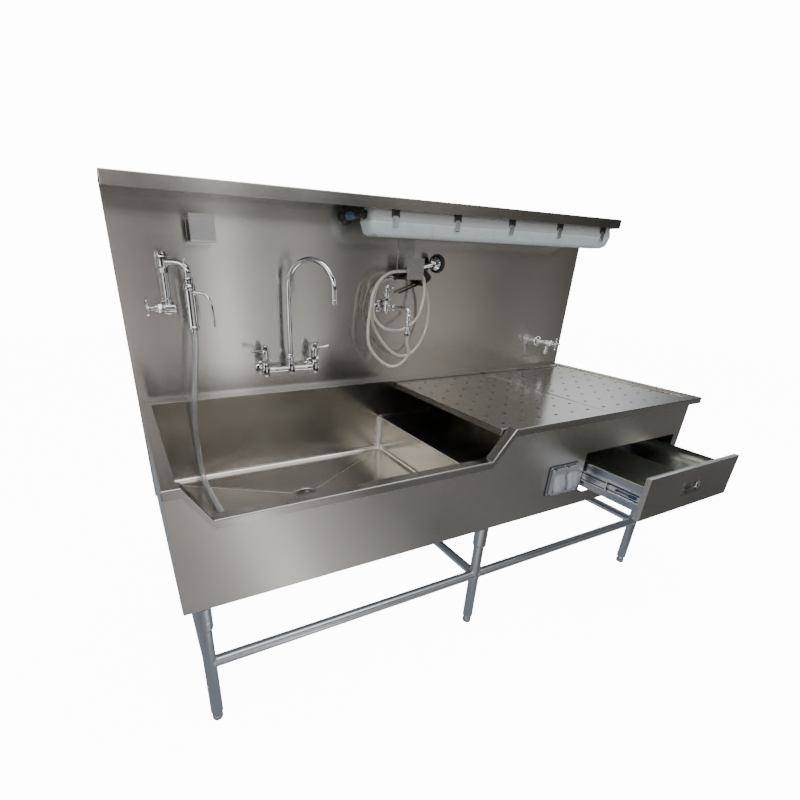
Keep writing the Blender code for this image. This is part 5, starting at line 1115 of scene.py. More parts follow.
LEVER_CAP = mm(
    0, 0, 14.6, 0, 15.8, 1.2, 16.2, 3.4, 16.2, 13, 15.2, 16.8, 12.8, 21.5, 10.4, 27, 9.2, 30.5,
    7.4, 32.8, 0, 34,
)
LEVER_ARM = mm(0, 0, 6.2, 0, 5.2, 12, 5, 22)
LEVER_END = mm(6.2, -14, 7.1, -6, 6.6, -2, 4.2, -0.2, 0, 0)
LEVER_BUTTON = mm(0, 0, 4.8, 0, 4.6, 0.6, 3, 1.1, 0, 1.3)


class STATION_OT_faucet(bpy.types.Operator):
    """Make the wall faucet: body with two valves, levers and the swivelling gooseneck"""

    bl_idname = "station.faucet"
    bl_label = "Faucet"

    def execute(self, context):
        body = bmesh.new()
        turned(body, FAUCET_BAR, FAUCET - FAUCET_HALF, (1, 0, 0))
        for place in (FAUCET - FAUCET_HALF, FAUCET + FAUCET_HALF):
            shank(body, place.x, FAUCET.z, 0.028, 0.0115, 0.052)
            turned(body, FAUCET_VALVE, place)
            nut(body, place, UP, 0.0310, 0.0450, 0.0158)
        turned(body, FAUCET_HUB, FAUCET)
        piece("faucet_casting", body, "chrome", stands_for=("faucet_body",))

        spout = bmesh.new()
        base = FAUCET + UP * SPOUT_SEAT
        turned(spout, SPOUT_COLLAR, base)
        way = heading(SPOUT_TURN)
        path = [base + UP * 0.012]
        for cos, sin in arc(180, 0, 48):
            path.append(FAUCET + way * SPOUT_BEND * (1 + cos) + UP * (SPOUT_RISE + SPOUT_BEND * sin))
        path.append(FAUCET + way * 2 * SPOUT_BEND + UP * SPOUT_END)
        piped(spout, path, SPOUT_RADIUS, 9)
        turned(spout, SPOUT_TIP, path[-1])
        piece("gooseneck_tube", spout, "chrome", "gooseneck_spout", ("gooseneck_spout",), 50.0)

        for side, end, angle in LEVERS:
            lever = bmesh.new()
            top = FAUCET + FAUCET_HALF * end + UP * LEVER_SEAT
            turned(lever, LEVER_CAP, top)
            out = heading(angle)
            near, far = top + UP * 0.012 + out * 0.006, top + UP * 0.019 + out * 0.062
            tapered(lever, near, far, LEVER_ARM, LEVER_END, 28)
            name = "faucet_lever_" + side
            piece("lever_" + side, lever, "chrome", name, (name,))
            mark = bmesh.new()
            turned(mark, LEVER_BUTTON, top + UP * 0.0336, sides=24)
            piece("lever_button_" + side, mark, "black", name)
        return {"FINISHED"}


ASPIRATOR = Vector((0.145, WALL - 0.0435, 1.160))
RISER_TOP = Vector((ASPIRATOR.x, ASPIRATOR.y, 1.2997))
EJECTOR = Vector((0.210, WALL - 0.096, 1.085))
UNION_Z = 1.2450
BOW_RADIUS, NOZZLE_RADIUS, NOZZLE_Z, BOSS_Z = 0.0105, 0.0045, 0.1267, 0.1270
NOZZLE_AIM = Vector((0.81, -0.585, 0)).normalized()
ASPIRATOR_BARREL = mm(
    0, 0, 9, 0.4, 13, 1.6, 15.2, 4, 15.6, 9, 15.6, 40, 14.8, 45, 12.2, 49, 12, 52, 12, 62, 13.6, 63.4,
    14, 64.6, 14, 71.4, 13.2, 72, 0, 72,
)
RISER = mm(0, 0, 11, 0, 11, 20, 12.8, 22.5, 12.8, 31, 11, 33.5, 11, 139.7, 0, 139.7)
RISER_CAP = mm(
    0, -16, 13.6, -16, 16, -13.5, 17, -10, 17, 16, 15.8, 21.5, 13.6, 29, 10, 33.5, 6.5, 35.6, 0, 36
)
BOW = ((0.30, 0), (0.55, 0), (0.80, 0.004), (0.94, 0.013), (1.0, 0.027), (1.0, 0.040))
BOW_PIN = mm(0, 0, 3.2, 0, 3, 18, 4, 20, 3.6, 23.5, 0, 24.5)
UNION = mm(0, 0, 13.2, 0, 14.6, 1.4, 14.6, 11, 13, 12.8, 10.8, 14, 0, 14)
EJECTOR_TUBE = mm(
    0, 0, 11.8, 0, 12.5, 0.8, 12.5, 10, 16.5, 11.4, 19.2, 12.4, 19.6, 14, 19.6, 18, 18.8, 19.6, 17, 21,
    16.5, 23, 16.5, 134, 17.2, 136.4, 18.8, 138, 19.1, 139.8, 19.1, 145, 18.2, 147.4, 15, 151, 14, 153,
    14, 158.8, 13.2, 159.4, 0, 159.4,
)
NOZZLE = mm(8, 0, 24, 0.8, 40, 1, 52, -3, 61, -11, 68, -24, 73, -46, 75.5, -75, 76.2, -92, 76.5, -105)
NOZZLE_BOSS = mm(0, 0, 7.8, 0, 7.8, 5, 6, 7, 0, 7)
NOZZLE_BARB = mm(4, 0, 5.4, 1.2, 4, 5)


class STATION_OT_aspirator(bpy.types.Operator):
    """Make the hydro-aspirator: valve, riser, cross handle, ejector body and suction nozzle"""

    bl_idname = "station.aspirator"
    bl_label = "Aspirator"

    def execute(self, context):
        body = bmesh.new()
        shank(body, ASPIRATOR.x, ASPIRATOR.z, 0.026, 0.0115, 0.0435)
        turned(body, ASPIRATOR_BARREL, ASPIRATOR - LEFT * 0.027, LEFT)
        nut(body, ASPIRATOR, LEFT, 0.0235, 0.0345, 0.0152)
        turned(body, RISER, ASPIRATOR)
        turned(body, RISER_CAP, RISER_TOP)
        nut(body, RISER_TOP, UP, -0.030, -0.0165, 0.0150)
        aim = Vector((EJECTOR.x - ASPIRATOR.x, EJECTOR.y - ASPIRATOR.y, 0))
        high = Vector((ASPIRATOR.x, ASPIRATOR.y, RISER_TOP.z + 0.002))
        bow = [high + Vector((0.006, -0.005, 0))]
        bow += [high + aim * share - UP * drop for share, drop in BOW]
        bow.append(Vector((EJECTOR.x, EJECTOR.y, UNION_Z)))
        piped(body, smooth_route(bow, PIPE_STEP), BOW_RADIUS, 7)
        turned(body, BOW_PIN, bow[3], (0.014, -0.011, 0.017), 20)
        turned(body, UNION, (EJECTOR.x, EJECTOR.y, UNION_Z + 0.0002))
        piece("aspirator_valve_casting", body, "chrome", stands_for=("aspirator_valve_body",), crease=44.0)

        handle = bmesh.new()
        cross_handle(handle, ASPIRATOR + LEFT * 0.0453, LEFT, 0.021, 0.028)
        piece("aspirator_cross", handle, "chrome", "aspirator_handle", ("aspirator_handle",))

        ejector = bmesh.new()
        turned(ejector, EJECTOR_TUBE, EJECTOR, sides=48)
        nozzle = [EJECTOR + NOZZLE_AIM * out + UP * (NOZZLE_Z + rise) for out, rise in NOZZLE]
        piped(ejector, smooth_route(nozzle, PIPE_STEP), NOZZLE_RADIUS, 6)
        boss = EJECTOR + NOZZLE_AIM * 0.0155 + UP * BOSS_Z
        turned(ejector, NOZZLE_BOSS, boss, NOZZLE_AIM, 28)
        for share in (0.0, 0.007, 0.014):
            turned(ejector, NOZZLE_BARB, nozzle[-1] + UP * (0.001 + share), UP, 22)
        piece("ejector_tube", ejector, "chrome", stands_for=("aspirator_body",), crease=44.0)
        return {"FINISHED"}


SPRAY = Vector((0.985, WALL - 0.060, 1.152))
DROP = Vector((1.032, WALL - 0.158, 1.046))
ARM_RADIUS = 0.0085
SPRAY_STEM = mm(
    0, -25, 8, -24.8, 11.2, -23.2, 13.4, -19.5, 14, -15, 14, 14, 13, 18, 11, 21.4, 11, 39, 13.4, 41.6,
    13.8, 43, 13.8, 49, 13.2, 49.5, 0, 49.5,
)
SPRAY_ARM = (
    (0, 0), (0.4, 0), (0.80, 0), (0.92, 0.0025), (0.985, 0.0085), (1.0, 0.016), (1.0, 0.026), (1.0, 0.034)
)
BREAKER = mm(
    0, 0, 9.8, 0, 10.5, 1, 10.5, 18, 9.8, 19, 10.5, 20, 10.5, 39.5, 7.2, 42, 7, 50, 11.6, 51.6, 12, 53,
    12, 64, 11.2, 65, 12, 66, 12, 79, 10.4, 81.8, 8.8, 84, 0, 84,
)
SPRAY_HUB = mm(
    0, 0, 14.2, 0, 14.8, 0.8, 14.8, 5.4, 13, 7.6, 10.2, 9.2, 10, 11, 10, 25, 8.8, 30, 6, 34.4, 0, 36
)
SPRAY_GRIP = mm(0, 0, 5.2, 0, 4.2, 10)
SPRAY_GRIP_END = mm(5.2, -12, 6, -5, 4.8, -0.8, 0, 0)
FERRULE = mm(
    0, 0, 7, 0, 8, 1, 8, 6, 7.4, 6.8, 8, 7.6, 8, 13.6, 7.4, 14.4, 8, 15.2, 8, 27, 10, 28.5, 10.8, 30,
    0, 30,
)
GUN_COLLAR = mm(0, 150, 10.4, 150, 10.8, 151, 10.8, 157, 9.8, 159, 9.6, 161, 9.6, 180, 0, 180)
GUN_BELL = mm(
    0, -20, 11.8, -20, 13.6, -19.4, 15, -18, 19, -13.6, 20, -13, 25, -6.6, 27, -3, 28, 1.2, 28, 14.8,
    24, 15.5, 22.2, 13.2, 0, 13.2,
)
GUN_FACE = mm(0, 16.4, 7, 16.2, 14, 15.2, 20, 14, 22, 13.6, 22, 12, 0, 12)
JET = mm(0, 0.3, 0.8, 0.3, 1, -0.3, 0, -0.3)
JETS = ((0.0, 1, 0.0163), (0.0062, 6, 0.0162), (0.0120, 12, 0.0155), (0.0175, 18, 0.0146))


class STATION_OT_spray(bpy.types.Operator):
    """Make the spray station: valve with arm and drop, handle, gun, bumper, squeeze lever"""

    bl_idname = "station.spray"
    bl_label = "Spray station"

    def execute(self, context):
        body = bmesh.new()
        shank(body, SPRAY.x, SPRAY.z, 0.026, 0.0105, 0.060)
        turned(body, SPRAY_STEM, SPRAY)
        nut(body, SPRAY, UP, 0.0240, 0.0360, 0.0142)
        aim = Vector((DROP.x - SPRAY.x, DROP.y - SPRAY.y, 0))
        arm = [SPRAY + aim * share - UP * drop for share, drop in SPRAY_ARM]
        piped(body, smooth_route(arm, PIPE_STEP), ARM_RADIUS, 7)
        turned(body, BREAKER, DROP)
        nut(body, DROP, UP, 0.0035, 0.0135, 0.0122, 0.0006)
        nut(body, SPRAY, aim, 0.20, 0.32, 0.0128, 0.0006)
        piece("spray_valve_casting", body, "chrome", stands_for=("spray_valve_body",), crease=44.0)

        handle = bmesh.new()
        base = SPRAY + UP * 0.0498
        turned(handle, SPRAY_HUB, base)
        near, far = base + Vector((0, -0.004, 0.018)), base + Vector((0, -0.045, 0.026))
        tapered(handle, near, far, SPRAY_GRIP, SPRAY_GRIP_END, 26)
        piece("spray_valve_lever", handle, "chrome", "spray_valve_handle", ("spray_valve_handle",))

        gun = bmesh.new()
        barrel = mm(0, 30, 11, 30, 11.8, 34, 12, 40)
        for rib in range(9):
            at = 0.046 + 0.011 * rib
            barrel += [(0.0120, at), (0.0108, at + 0.0014), (0.0108, at + 0.0034), (0.0120, at + 0.0048)]
        barrel += mm(12, 146, 11.2, 150, 10, 152, 0, 152)
        turned(gun, barrel, GUN_START, GUN_WAY, 36)
        pivot = GUN_START + GUN_WAY * 0.190 + Vector((0.003, 0, -0.046))
        neck = GUN_START + GUN_WAY * 0.172
        corners = [(neck.x + x, neck.z + z) for x, z in mm(-10, -3, 12, 3)]
        cheek = mm(34, 6, 30, -6, -6, -31, -16, -30, -30, -12)
        corners += [(pivot.x + x, pivot.z + z) for x, z in cheek]
        for low, high in ((-0.0097, -0.0070), (0.0070, 0.0097)):
            prism(gun, [(x, GUN_START.y + low, z) for x, z in corners], BACK * (high - low), 0.0008)
        on_hose = [piece("spray_gun_grip", gun, "black", stands_for=("spray_gun",))]

        metal = bmesh.new()
        turned(metal, FERRULE, GUN_START, GUN_WAY, 32)
        nut(metal, GUN_START, GUN_WAY, 0.0205, 0.0285, 0.0105, 0.0006)
        turned(metal, GUN_COLLAR, GUN_START, GUN_WAY, 32)
        joint = GUN_START + GUN_WAY * 0.178
        ball(metal, joint, (0.0104, 0.0104, 0.0104), 16)
        neck_way = (GUN_HEAD - GUN_AIM * 0.006 - joint).normalized()
        neck_end = (GUN_HEAD - joint).length - 0.010
        run = mm(0, 0, 9.6, 0, 9, 12)
        run += [(radius, neck_end + rise) for radius, rise in mm(9.2, -14, 11.2, -4, 11.8, 0, 0, 0)]
        turned(metal, run, joint, neck_way, 32)
        turned(metal, GUN_BELL, GUN_HEAD, GUN_AIM, 48)
        turned(metal, GUN_FACE, GUN_HEAD, GUN_AIM, 40)
        on_hose.append(piece("spray_gun_metal", metal, "chrome", crease=44.0))
        # Dark discs in the spray face: painted shadow in its jets
        jets = bmesh.new()
        spin = turn_to(GUN_AIM)
        for radius, count, lift in JETS:
            for x, y in ring(count, radius):
                turned(jets, JET, GUN_HEAD + (spin @ Vector((x, y, lift))), GUN_AIM, 8)
        on_hose.append(piece("spray_face_holes", jets, "shadow"))

        bumper = bmesh.new()
        profile = [(0.0326 + 0.0042 * cos, 0.0070 + 0.0110 * sin) for cos, sin in ring(20, 1.0)]
        turned(bumper, profile, GUN_HEAD, GUN_AIM, 48)
        for x, y in ring(12, 0.0363):
            ball(bumper, GUN_HEAD + (spin @ Vector((x, y, 0.007))), (0.0022, 0.0022, 0.0022), 6)
        on_hose.append(piece("bumper_ring", bumper, "rubber", stands_for=("spray_bumper",), crease=60.0))
        on_hose.append(dressed("spray_lever", "black", edge=0.0008))
        pin = bmesh.new()
        rod(pin, pivot - BACK * 0.0108, pivot + BACK * 0.0108, 0.0026, sides=20, soft=0.0004)
        on_hose.append(piece("spray_lever_pin", pin, "zinc"))
        return {"FINISHED"}


SPIGOT = Vector((LENGTH - 0.175, WALL - 0.105, 0.962))
BONNET = mm(
    0, 0, 10.4, 0, 11, 0.8, 11, 9.5, 14.8, 13, 16, 19, 16.2, 30, 16, 48, 14.8, 53, 12, 56, 0, 56
)
SPIGOT_SPOUT = mm(
    0, 2, 6.6, 2, 7, 0, 9, 0, 10.8, 1.2, 11.5, 3.2, 11.5, 6, 10.8, 6.8, 11.5, 7.6, 11.5, 13.6, 10, 16.6,
    9.1, 19, 9.6, 56, 0, 56,
)


class STATION_OT_spigot(bpy.types.Operator):
    """Make the single wall tap with its cross handle"""

    bl_idname = "station.spigot"
    bl_label = "Wall tap"

    def execute(self, context):
        body = bmesh.new()
        shank(body, SPIGOT.x, SPIGOT.z, 0.025, 0.0115, 0.067)
        turned(body, BONNET, SPIGOT, BACK)
        nut(body, SPIGOT, BACK, 0.0018, 0.0090, 0.0138)
        turned(body, SPIGOT_SPOUT, SPIGOT + Vector((0, 0.038, -0.056)))
        piece("wall_tap_casting", body, "chrome", stands_for=("spigot_body",))
        handle = bmesh.new()
        cross_handle(handle, SPIGOT + FORWARD * GAP, FORWARD, 0.017, 0.030)
        piece("wall_tap_cross", handle, "chrome", "spigot_handle", ("spigot_handle",))
        return {"FINISHED"}


# Light

LIGHT_LOW, LIGHT_HIGH = box_of("light_housing")
LIGHT_Y = (LIGHT_LOW.y + LIGHT_HIGH.y) / 2
KEEPER_Z, KEEPER_LEG_Z, KEEPER_PIN_Z = (1.4712, 1.4890), (1.4640, 1.4730), 1.4680
GASKET_Z = (1.4512, 1.4530)
PLUG_Z = 1.470
CLIP_X = [centre_of("light_clip_%d" % index).x for index in range(1, 6)]
ENTRY = Vector((0.818, WALL, 1.472))
GLAND_X = 0.8347
ELBOW = 0.0167
ENTRY_HUB = mm(0, 0.3, 25, 0.3, 26, 1, 26, 11, 24, 14, 18.5, 18.5, 16, 20.5, 16, 30, 0, 30)
GLAND = mm(0, 0, 14.2, 0, 15, 0.8, 15, 6.4, 13.2, 8, 11.2, 9, 0, 9)
END_PLUG = mm(0, 0, 12, 0, 12, 5, 9.5, 6.5, 9, 12, 7.2, 14.2, 0, 14.6)


class STATION_OT_light(bpy.types.Operator):
    """Dress the sealed light: housing, milky diffuser, clips with their keepers, cable entry and end plug"""

    bl_idname = "station.light"
    bl_label = "Shelf light"

    def execute(self, context):
        dressed("light_housing", "grey", edge=0.0)
        dressed("light_diffuser", "diffuser", edge=0.0)
        dressed("led_tray", "diffuser", edge=0.0)
        front, back = LIGHT_LOW.y - 0.0034, LIGHT_LOW.y + 0.0040
        keepers = bmesh.new()
        for index, x in enumerate(CLIP_X):
            dressed("light_clip_%d" % (index + 1), "zinc", edge=0.0003)
            low, high = KEEPER_Z
            block(keepers, (x - 0.0152, front, low), (x + 0.0152, back, high), 0.0014)
            low, high = KEEPER_LEG_Z
            for side in (-1, 1):
                near, far = sorted((x + side * 0.0124, x + side * 0.0152))
                block(keepers, (near, front, low), (far, back, high), 0.0008)
                ends = [(x + side * out, LIGHT_LOW.y - 0.0012, KEEPER_PIN_Z) for out in (0.0150, 0.0160)]
                rod(keepers, *ends, 0.0017, sides=14)
        piece("clip_keepers", keepers, "black")
        gasket = bmesh.new()
        rim = Vector((0.0004, 0.0004, 0))
        low, high = LIGHT_LOW - rim, LIGHT_HIGH + rim
        block(gasket, (low.x, low.y, GASKET_Z[0]), (high.x, high.y, GASKET_Z[1]))
        upright = [e for e in gasket.edges if abs((e.verts[0].co - e.verts[1].co).normalized().z) > 0.9]
        bevelled(gasket, upright, 0.0200, 8)
        piece("light_gasket", gasket, "grey")

        hub = bmesh.new()
        turned(hub, ENTRY_HUB, ENTRY, FORWARD)
        for x, z in ring(14, 0.0155):
            ball(hub, ENTRY + Vector((x, -0.025, z)), (0.0016, 0.0052, 0.0016), 5)
        turned(hub, GLAND, (GLAND_X, LIGHT_Y, ENTRY.z), LEFT)
        path = [ENTRY + FORWARD * 0.030]
        for cos, sin in arc(180, 270, 12):
            path.append(Vector((GLAND_X + ELBOW * cos, LIGHT_Y + ELBOW + ELBOW * sin, ENTRY.z)))
        piped(hub, path, 0.0095, 7)
        piece("cable_hub", hub, "black", stands_for=("light_conduit",), crease=44.0)
        sleeve = bmesh.new()
        profile = mm(0, 30, 13.8, 30, 14.5, 31.2)
        for rib in range(5):
            at = 0.0330 + 0.0060 * rib
            profile += [(0.0145, at), (0.0136, at + 0.0010), (0.0136, at + 0.0028), (0.0145, at + 0.0038)]
        profile += mm(14.5, 64, 12.8, 68, 10.4, 72, 10.4, 96, 0, 96)
        turned(sleeve, profile, ENTRY, FORWARD)
        piece("cable_connector", sleeve, "blue_grey")
        plug = bmesh.new()
        turned(plug, END_PLUG, (LIGHT_HIGH.x - 0.0015, LIGHT_Y, PLUG_Z), -LEFT)
        piece("light_end_plug", plug, "plug")
        return {"FINISHED"}


# Studio

SENSOR = 36.0
LENS_SHIFT = (0.0561, 0.09025)
CLIP_RANGE = (0.02, 60.0)
FLOOR_HALF = 9.0
FLOOR_DROP = 0.0005
WHITE = (1.0, 1.0, 1.0)

# Each soft box: name, place, what it faces, width, share of the key light's power and tint
SOFT_BOXES = (
    ("top_box", (-0.1, -0.6, 3.4), (0.0, 0.0, 0.6), 2.6, 1.0, (1.0, 0.985, 0.96)),
    ("left_box", (-2.2, -2.4, 2.15), (-0.5, 0.3, 0.8), 1.2, 0.40, (1.0, 0.97, 0.94)),
    ("right_box", (3.0, 0.5, 3.0), (0.6, 0.2, 0.8), 1.5, 0.40, (0.86, 0.93, 1.0)),
)


class STATION_OT_studio(bpy.types.Operator):
    """Set the camera, the pale floor and the soft light"""

    bl_idname = "station.studio"
    bl_label = "Studio"

    def execute(self, context):
        stage = context.scene.sink_station_stage
        turn, roll, tilt = stage.heading
        aim = Matrix.Rotation(turn, 3, "Z") @ Matrix.Rotation(roll, 3, "Y") @ Matrix.Rotation(tilt, 3, "X")
        right, ahead, up = aim.col
        lens = bpy.data.cameras.new("camera")
        lens.sensor_width = SENSOR
        lens.lens = stage.lens
        lens.shift_x, lens.shift_y = LENS_SHIFT
        lens.clip_start, lens.clip_end = CLIP_RANGE
        camera = bpy.data.objects.new("camera", lens)
        place = Matrix((right, up, -ahead)).transposed().to_4x4()
        place.translation = CORNER + Vector(stage.eye)
        camera.matrix_world = place
        context.scene.collection.objects.link(camera)
        context.scene.camera = camera

        shape = bmesh.new()
        bmesh.ops.create_grid(shape, x_segments=1, y_segments=1, size=FLOOR_HALF)
        bmesh.ops.translate(shape, vec=-UP * FLOOR_DROP, verts=shape.verts)
        mesh = bpy.data.meshes.new("studio_floor")
        shape.to_mesh(mesh)
        shape.free()
        mesh.materials.append(floor_finish(stage.floor_colour))
        floor = bpy.data.objects.new("studio_floor", mesh)
        context.scene.collection.objects.link(floor)

        for name, spot, target, size, share, colour in SOFT_BOXES:
            lamp = bpy.data.lights.new(name, "AREA")
            lamp.shape = "RECTANGLE"
            lamp.size = size
            lamp.size_y = size * 0.7
            lamp.energy = stage.key_power * share
            lamp.color = colour
            made = bpy.data.objects.new(name, lamp)
            made.location = spot
            made.rotation_euler = (Vector(target) - Vector(spot)).to_track_quat("-Z", "Y").to_euler()
            context.scene.collection.objects.link(made)
        studio_world(context.scene)
        return {"FINISHED"}


# Painted pool of light the floor glows with in the steel's reflections: place along the station from its
# middle, and how bright it is there
FLOOR_LIGHT_POOL = (
    (-1.40, 0.25), (-1.00, 0.36), (-0.80, 0.55), (-0.58, 1.85), (-0.40, 0.68), (-0.05, 0.36), (0.20, 0.11),
    (0.70, 0.140), (1.10, 0.115), (1.60, 0.040), (2.60, 0.045), (3.40, 0.14),
)
# Painted shade on the floor under the station, and the tint of the painted pool of light
FLOOR_SHADE_UNDER = (0.30, 0.335, 0.37)
LIGHT_POOL_TINT = (1.0, 0.97, 0.94)

# What the steel reflects of the room: bearing in degrees from straight ahead, brightness and tint
ROOM_BANDS = (
    (-180, 0.20, (0.92, 0.96, 1.0)),
    (-152, 0.60, (0.92, 0.96, 1.0)),
    (-126, 0.08, (0.90, 0.95, 1.0)),
    (-96, 0.07, (1.0, 0.97, 0.94)),
    (-80, 1.20, (1.0, 0.97, 0.94)),
    (-62, 3.20, (1.0, 0.96, 0.93)),
    (-50, 0.60, (1.0, 0.96, 0.93)),
    (-38, 0.05, (1.0, 0.97, 0.94)),
    (-12, 0.06, (1.0, 0.95, 0.92)),
    (-5, 0.38, (1.0, 0.94, 0.92)),
    (0, 0.80, (1.0, 0.90, 0.88)),
    (4, 0.35, (1.0, 0.94, 0.93)),
    (8.2, 0.16, (0.98, 0.98, 1.0)),
    (11.6, 2.60, (1.0, 0.99, 0.98)),
    (14.5, 0.60, (1.0, 0.99, 0.98)),
    (22, 0.82, (1.0, 0.98, 0.97)),
    (25.5, 0.09, (1.0, 0.95, 0.92)),
    (28.5, 0.07, (1.0, 0.97, 0.94)),
    (32, 0.58, (1.0, 0.96, 0.91)),
    (38, 0.48, (1.0, 0.94, 0.87)),
    (44.5, 0.21, (1.0, 0.95, 0.88)),
    (47.5, 0.34, (1.0, 0.95, 0.88)),
    (53, 0.09, (1.0, 0.97, 0.94)),
    (74, 0.06, (0.96, 0.98, 1.0)),
    (86, 2.00, (0.90, 0.96, 1.0)),
    (97, 2.00, (0.90, 0.96, 1.0)),
    (105, 0.13, (0.92, 0.97, 1.0)),
    (115, 0.14, (0.92, 0.97, 1.0)),
    (124, 0.68, (0.95, 0.98, 1.0)),
    (140, 0.36, (1.0, 0.98, 0.96)),
    (162, 0.08, (1.0, 0.98, 0.96)),
    (180, 0.20, (0.92, 0.96, 1.0)),
)

# How bright the bands are at each height: the upright part of a direction, and a factor
ROOM_HEIGHTS = (
    (-1.0, 0.5), (-0.22, 1.25), (0.0, 0.70), (0.05, 0.14), (0.15, 0.16), (0.21, 2.10), (0.33, 2.10),
    (0.43, 0.20), (0.56, 0.06), (1.0, 0.06),
)
BAND_PEAK = 4.0
FLOOR_GLOW = 13.0
BACKDROP_GLOW = 14.0


def ramped(tree, source, stops):
    """Colour of a ramp with soft steps, from (place, colour) stops."""
    node = add(tree, "ShaderNodeValToRGB", {"Fac": source})
    ramp = node.color_ramp
    ramp.interpolation = "EASE"
    first, last = ramp.elements
    first.position, last.position = stops[0][0], stops[-1][0]
    first.color, last.color = stops[0][1], stops[-1][1]
    for place, colour in stops[1:-1]:
        ramp.elements.new(place).color = colour
    return node.outputs["Color"]


def shown(tree, kind, inputs=None):
    """First output of a new node."""
    return add(tree, kind, inputs).outputs[0]


def floor_finish(colour):
    """Pale floor; in what the steel reflects it glows grey, with a painted pool of light in front and painted
    shade under the station.
    """
    made, tree, shader = start_material("studio_floor")
    feed(tree, shader, {"Base Color": (*colour, 1.0), "Roughness": 0.9, "Specular IOR Level": 0.1})
    place = add(tree, "ShaderNodeTexCoord").outputs["Object"]
    axes = add(tree, "ShaderNodeSeparateXYZ", {"Vector": place}).outputs
    left, right = FLOOR_LIGHT_POOL[0][0], FLOOR_LIGHT_POOL[-1][0]
    stops = [((x - left) / (right - left), shade(LIGHT_POOL_TINT, glow / BAND_PEAK)) for x, glow in FLOOR_LIGHT_POOL]
    pool = ramped(tree, ranged(tree, axes["X"], left, right, 0.0, 1.0), stops)
    # Painted shade under the station, painted pool of light in front
    under = ranged(tree, axes["Y"], -0.62, -0.40, 0.0, 1.0, "SMOOTHSTEP")
    grey = mixed(tree, under, pool, shade(FLOOR_SHADE_UNDER, 1 / BAND_PEAK))
    lit = shown(tree, "ShaderNodeEmission", {"Color": grey, "Strength": BAND_PEAK})
    dull = shown(tree, "ShaderNodeBsdfDiffuse", {"Color": (0.05, 0.05, 0.05, 1.0)})
    near = shown(tree, "ShaderNodeAddShader", {0: lit, 1: dull})
    fade = ranged(tree, axes["Y"], -2.0, -2.9, 0.0, 1.0, "SMOOTHSTEP")
    far = shown(tree, "ShaderNodeMixShader", {0: fade, 1: near, 2: shown(tree, "ShaderNodeBsdfTransparent")})
    glow = shown(tree, "ShaderNodeEmission", {"Color": (*WHITE, 1.0), "Strength": FLOOR_GLOW})
    bright = shown(tree, "ShaderNodeAddShader", {0: shader.outputs[0], 1: glow})
    eye = add(tree, "ShaderNodeLightPath").outputs["Is Camera Ray"]
    whole = shown(tree, "ShaderNodeMixShader", {0: eye, 1: far, 2: bright})
    feed(tree, tree.nodes["Material Output"], {"Surface": whole})
    return made


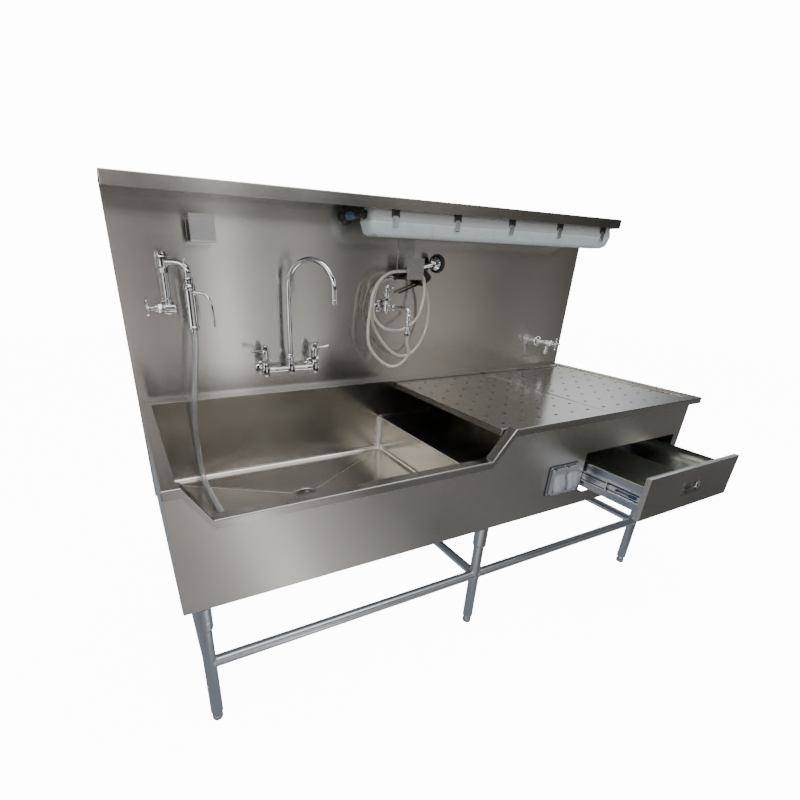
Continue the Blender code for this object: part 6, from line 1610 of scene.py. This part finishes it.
def studio_world(scene):
    """White backdrop for the eye; soft bright and dark bands and a pale ceiling for the steel to reflect."""
    world = bpy.data.worlds.new("studio")
    scene.world = world
    world.use_nodes = True
    tree = world.node_tree
    tree.nodes.clear()
    place = add(tree, "ShaderNodeTexCoord").outputs["Generated"]
    axes = add(tree, "ShaderNodeSeparateXYZ", {"Vector": place}).outputs
    bearing = calculated(tree, "ARCTAN2", axes["X"], calculated(tree, "MULTIPLY", axes["Y"], -1.0))
    stops = [(0.5 + turn / 360, shade(hue, level / BAND_PEAK)) for turn, level, hue in ROOM_BANDS]
    bands = ramped(tree, ranged(tree, bearing, -math.pi, math.pi, 0.0, 1.0), stops)
    stops = [(0.5 + rise / 2, shade(WHITE, factor / BAND_PEAK)) for rise, factor in ROOM_HEIGHTS]
    heights = ramped(tree, ranged(tree, axes["Z"], -1.0, 1.0, 0.0, 1.0), stops)
    strength = calculated(tree, "MULTIPLY", heights, BAND_PEAK ** 2)
    room = shown(tree, "ShaderNodeBackground", {"Color": bands, "Strength": strength})
    ceiling = ranged(tree, axes["Z"], 0.55, 0.92, 0.0, 1.1, "SMOOTHSTEP")
    sky = shown(tree, "ShaderNodeBackground", {"Color": (0.96, 0.97, 1.0, 1.0), "Strength": ceiling})
    fill = shown(tree, "ShaderNodeAddShader", {0: room, 1: sky})
    white = shown(tree, "ShaderNodeBackground", {"Color": (*WHITE, 1.0), "Strength": BACKDROP_GLOW})
    eye = add(tree, "ShaderNodeLightPath").outputs["Is Camera Ray"]
    whole = shown(tree, "ShaderNodeMixShader", {0: eye, 1: fill, 2: white})
    add(tree, "ShaderNodeOutputWorld", {"Surface": whole})


class STATION_PT_looks(bpy.types.Panel):
    """Sink station looks"""

    bl_idname = "STATION_PT_looks"
    bl_label = "Sink Station"
    bl_space_type = "VIEW_3D"
    bl_region_type = "UI"
    bl_category = "Sink Station"

    def draw(self, context):
        for owner in (context.scene.sink_station_looks, context.scene.sink_station_stage):
            for key in owner.__annotations__:
                self.layout.prop(owner, key)
        for operator in OPERATORS:
            self.layout.operator(operator.bl_idname)


OPERATORS = (
    STATION_OT_studio,
    STATION_OT_hoses,
    STATION_OT_sheet_metal,
    STATION_OT_stand,
    STATION_OT_drain,
    STATION_OT_drawer,
    STATION_OT_outlet,
    STATION_OT_faucet,
    STATION_OT_aspirator,
    STATION_OT_spray,
    STATION_OT_spigot,
    STATION_OT_light,
)
CLASSES = (StationLooks, StageLooks, *OPERATORS, STATION_PT_looks)


def register():
    """Adds the classes and their properties."""
    for one in CLASSES:
        bpy.utils.register_class(one)
    bpy.types.Scene.sink_station_looks = bpy.props.PointerProperty(type=StationLooks)
    bpy.types.Scene.sink_station_stage = bpy.props.PointerProperty(type=StageLooks)


def unregister():
    """Removes the classes and their properties."""
    del bpy.types.Scene.sink_station_stage
    del bpy.types.Scene.sink_station_looks
    for one in reversed(CLASSES):
        bpy.utils.unregister_class(one)


def main():
    """Makes every piece."""
    register()
    bpy.ops.station.studio()
    bpy.ops.station.hoses()
    bpy.ops.station.sheet_metal()
    bpy.ops.station.stand()
    bpy.ops.station.drain()
    bpy.ops.station.drawer()
    bpy.ops.station.outlet()
    bpy.ops.station.faucet()
    bpy.ops.station.aspirator()
    bpy.ops.station.spray()
    bpy.ops.station.spigot()
    bpy.ops.station.light()


if __name__ == "__main__":
    main()
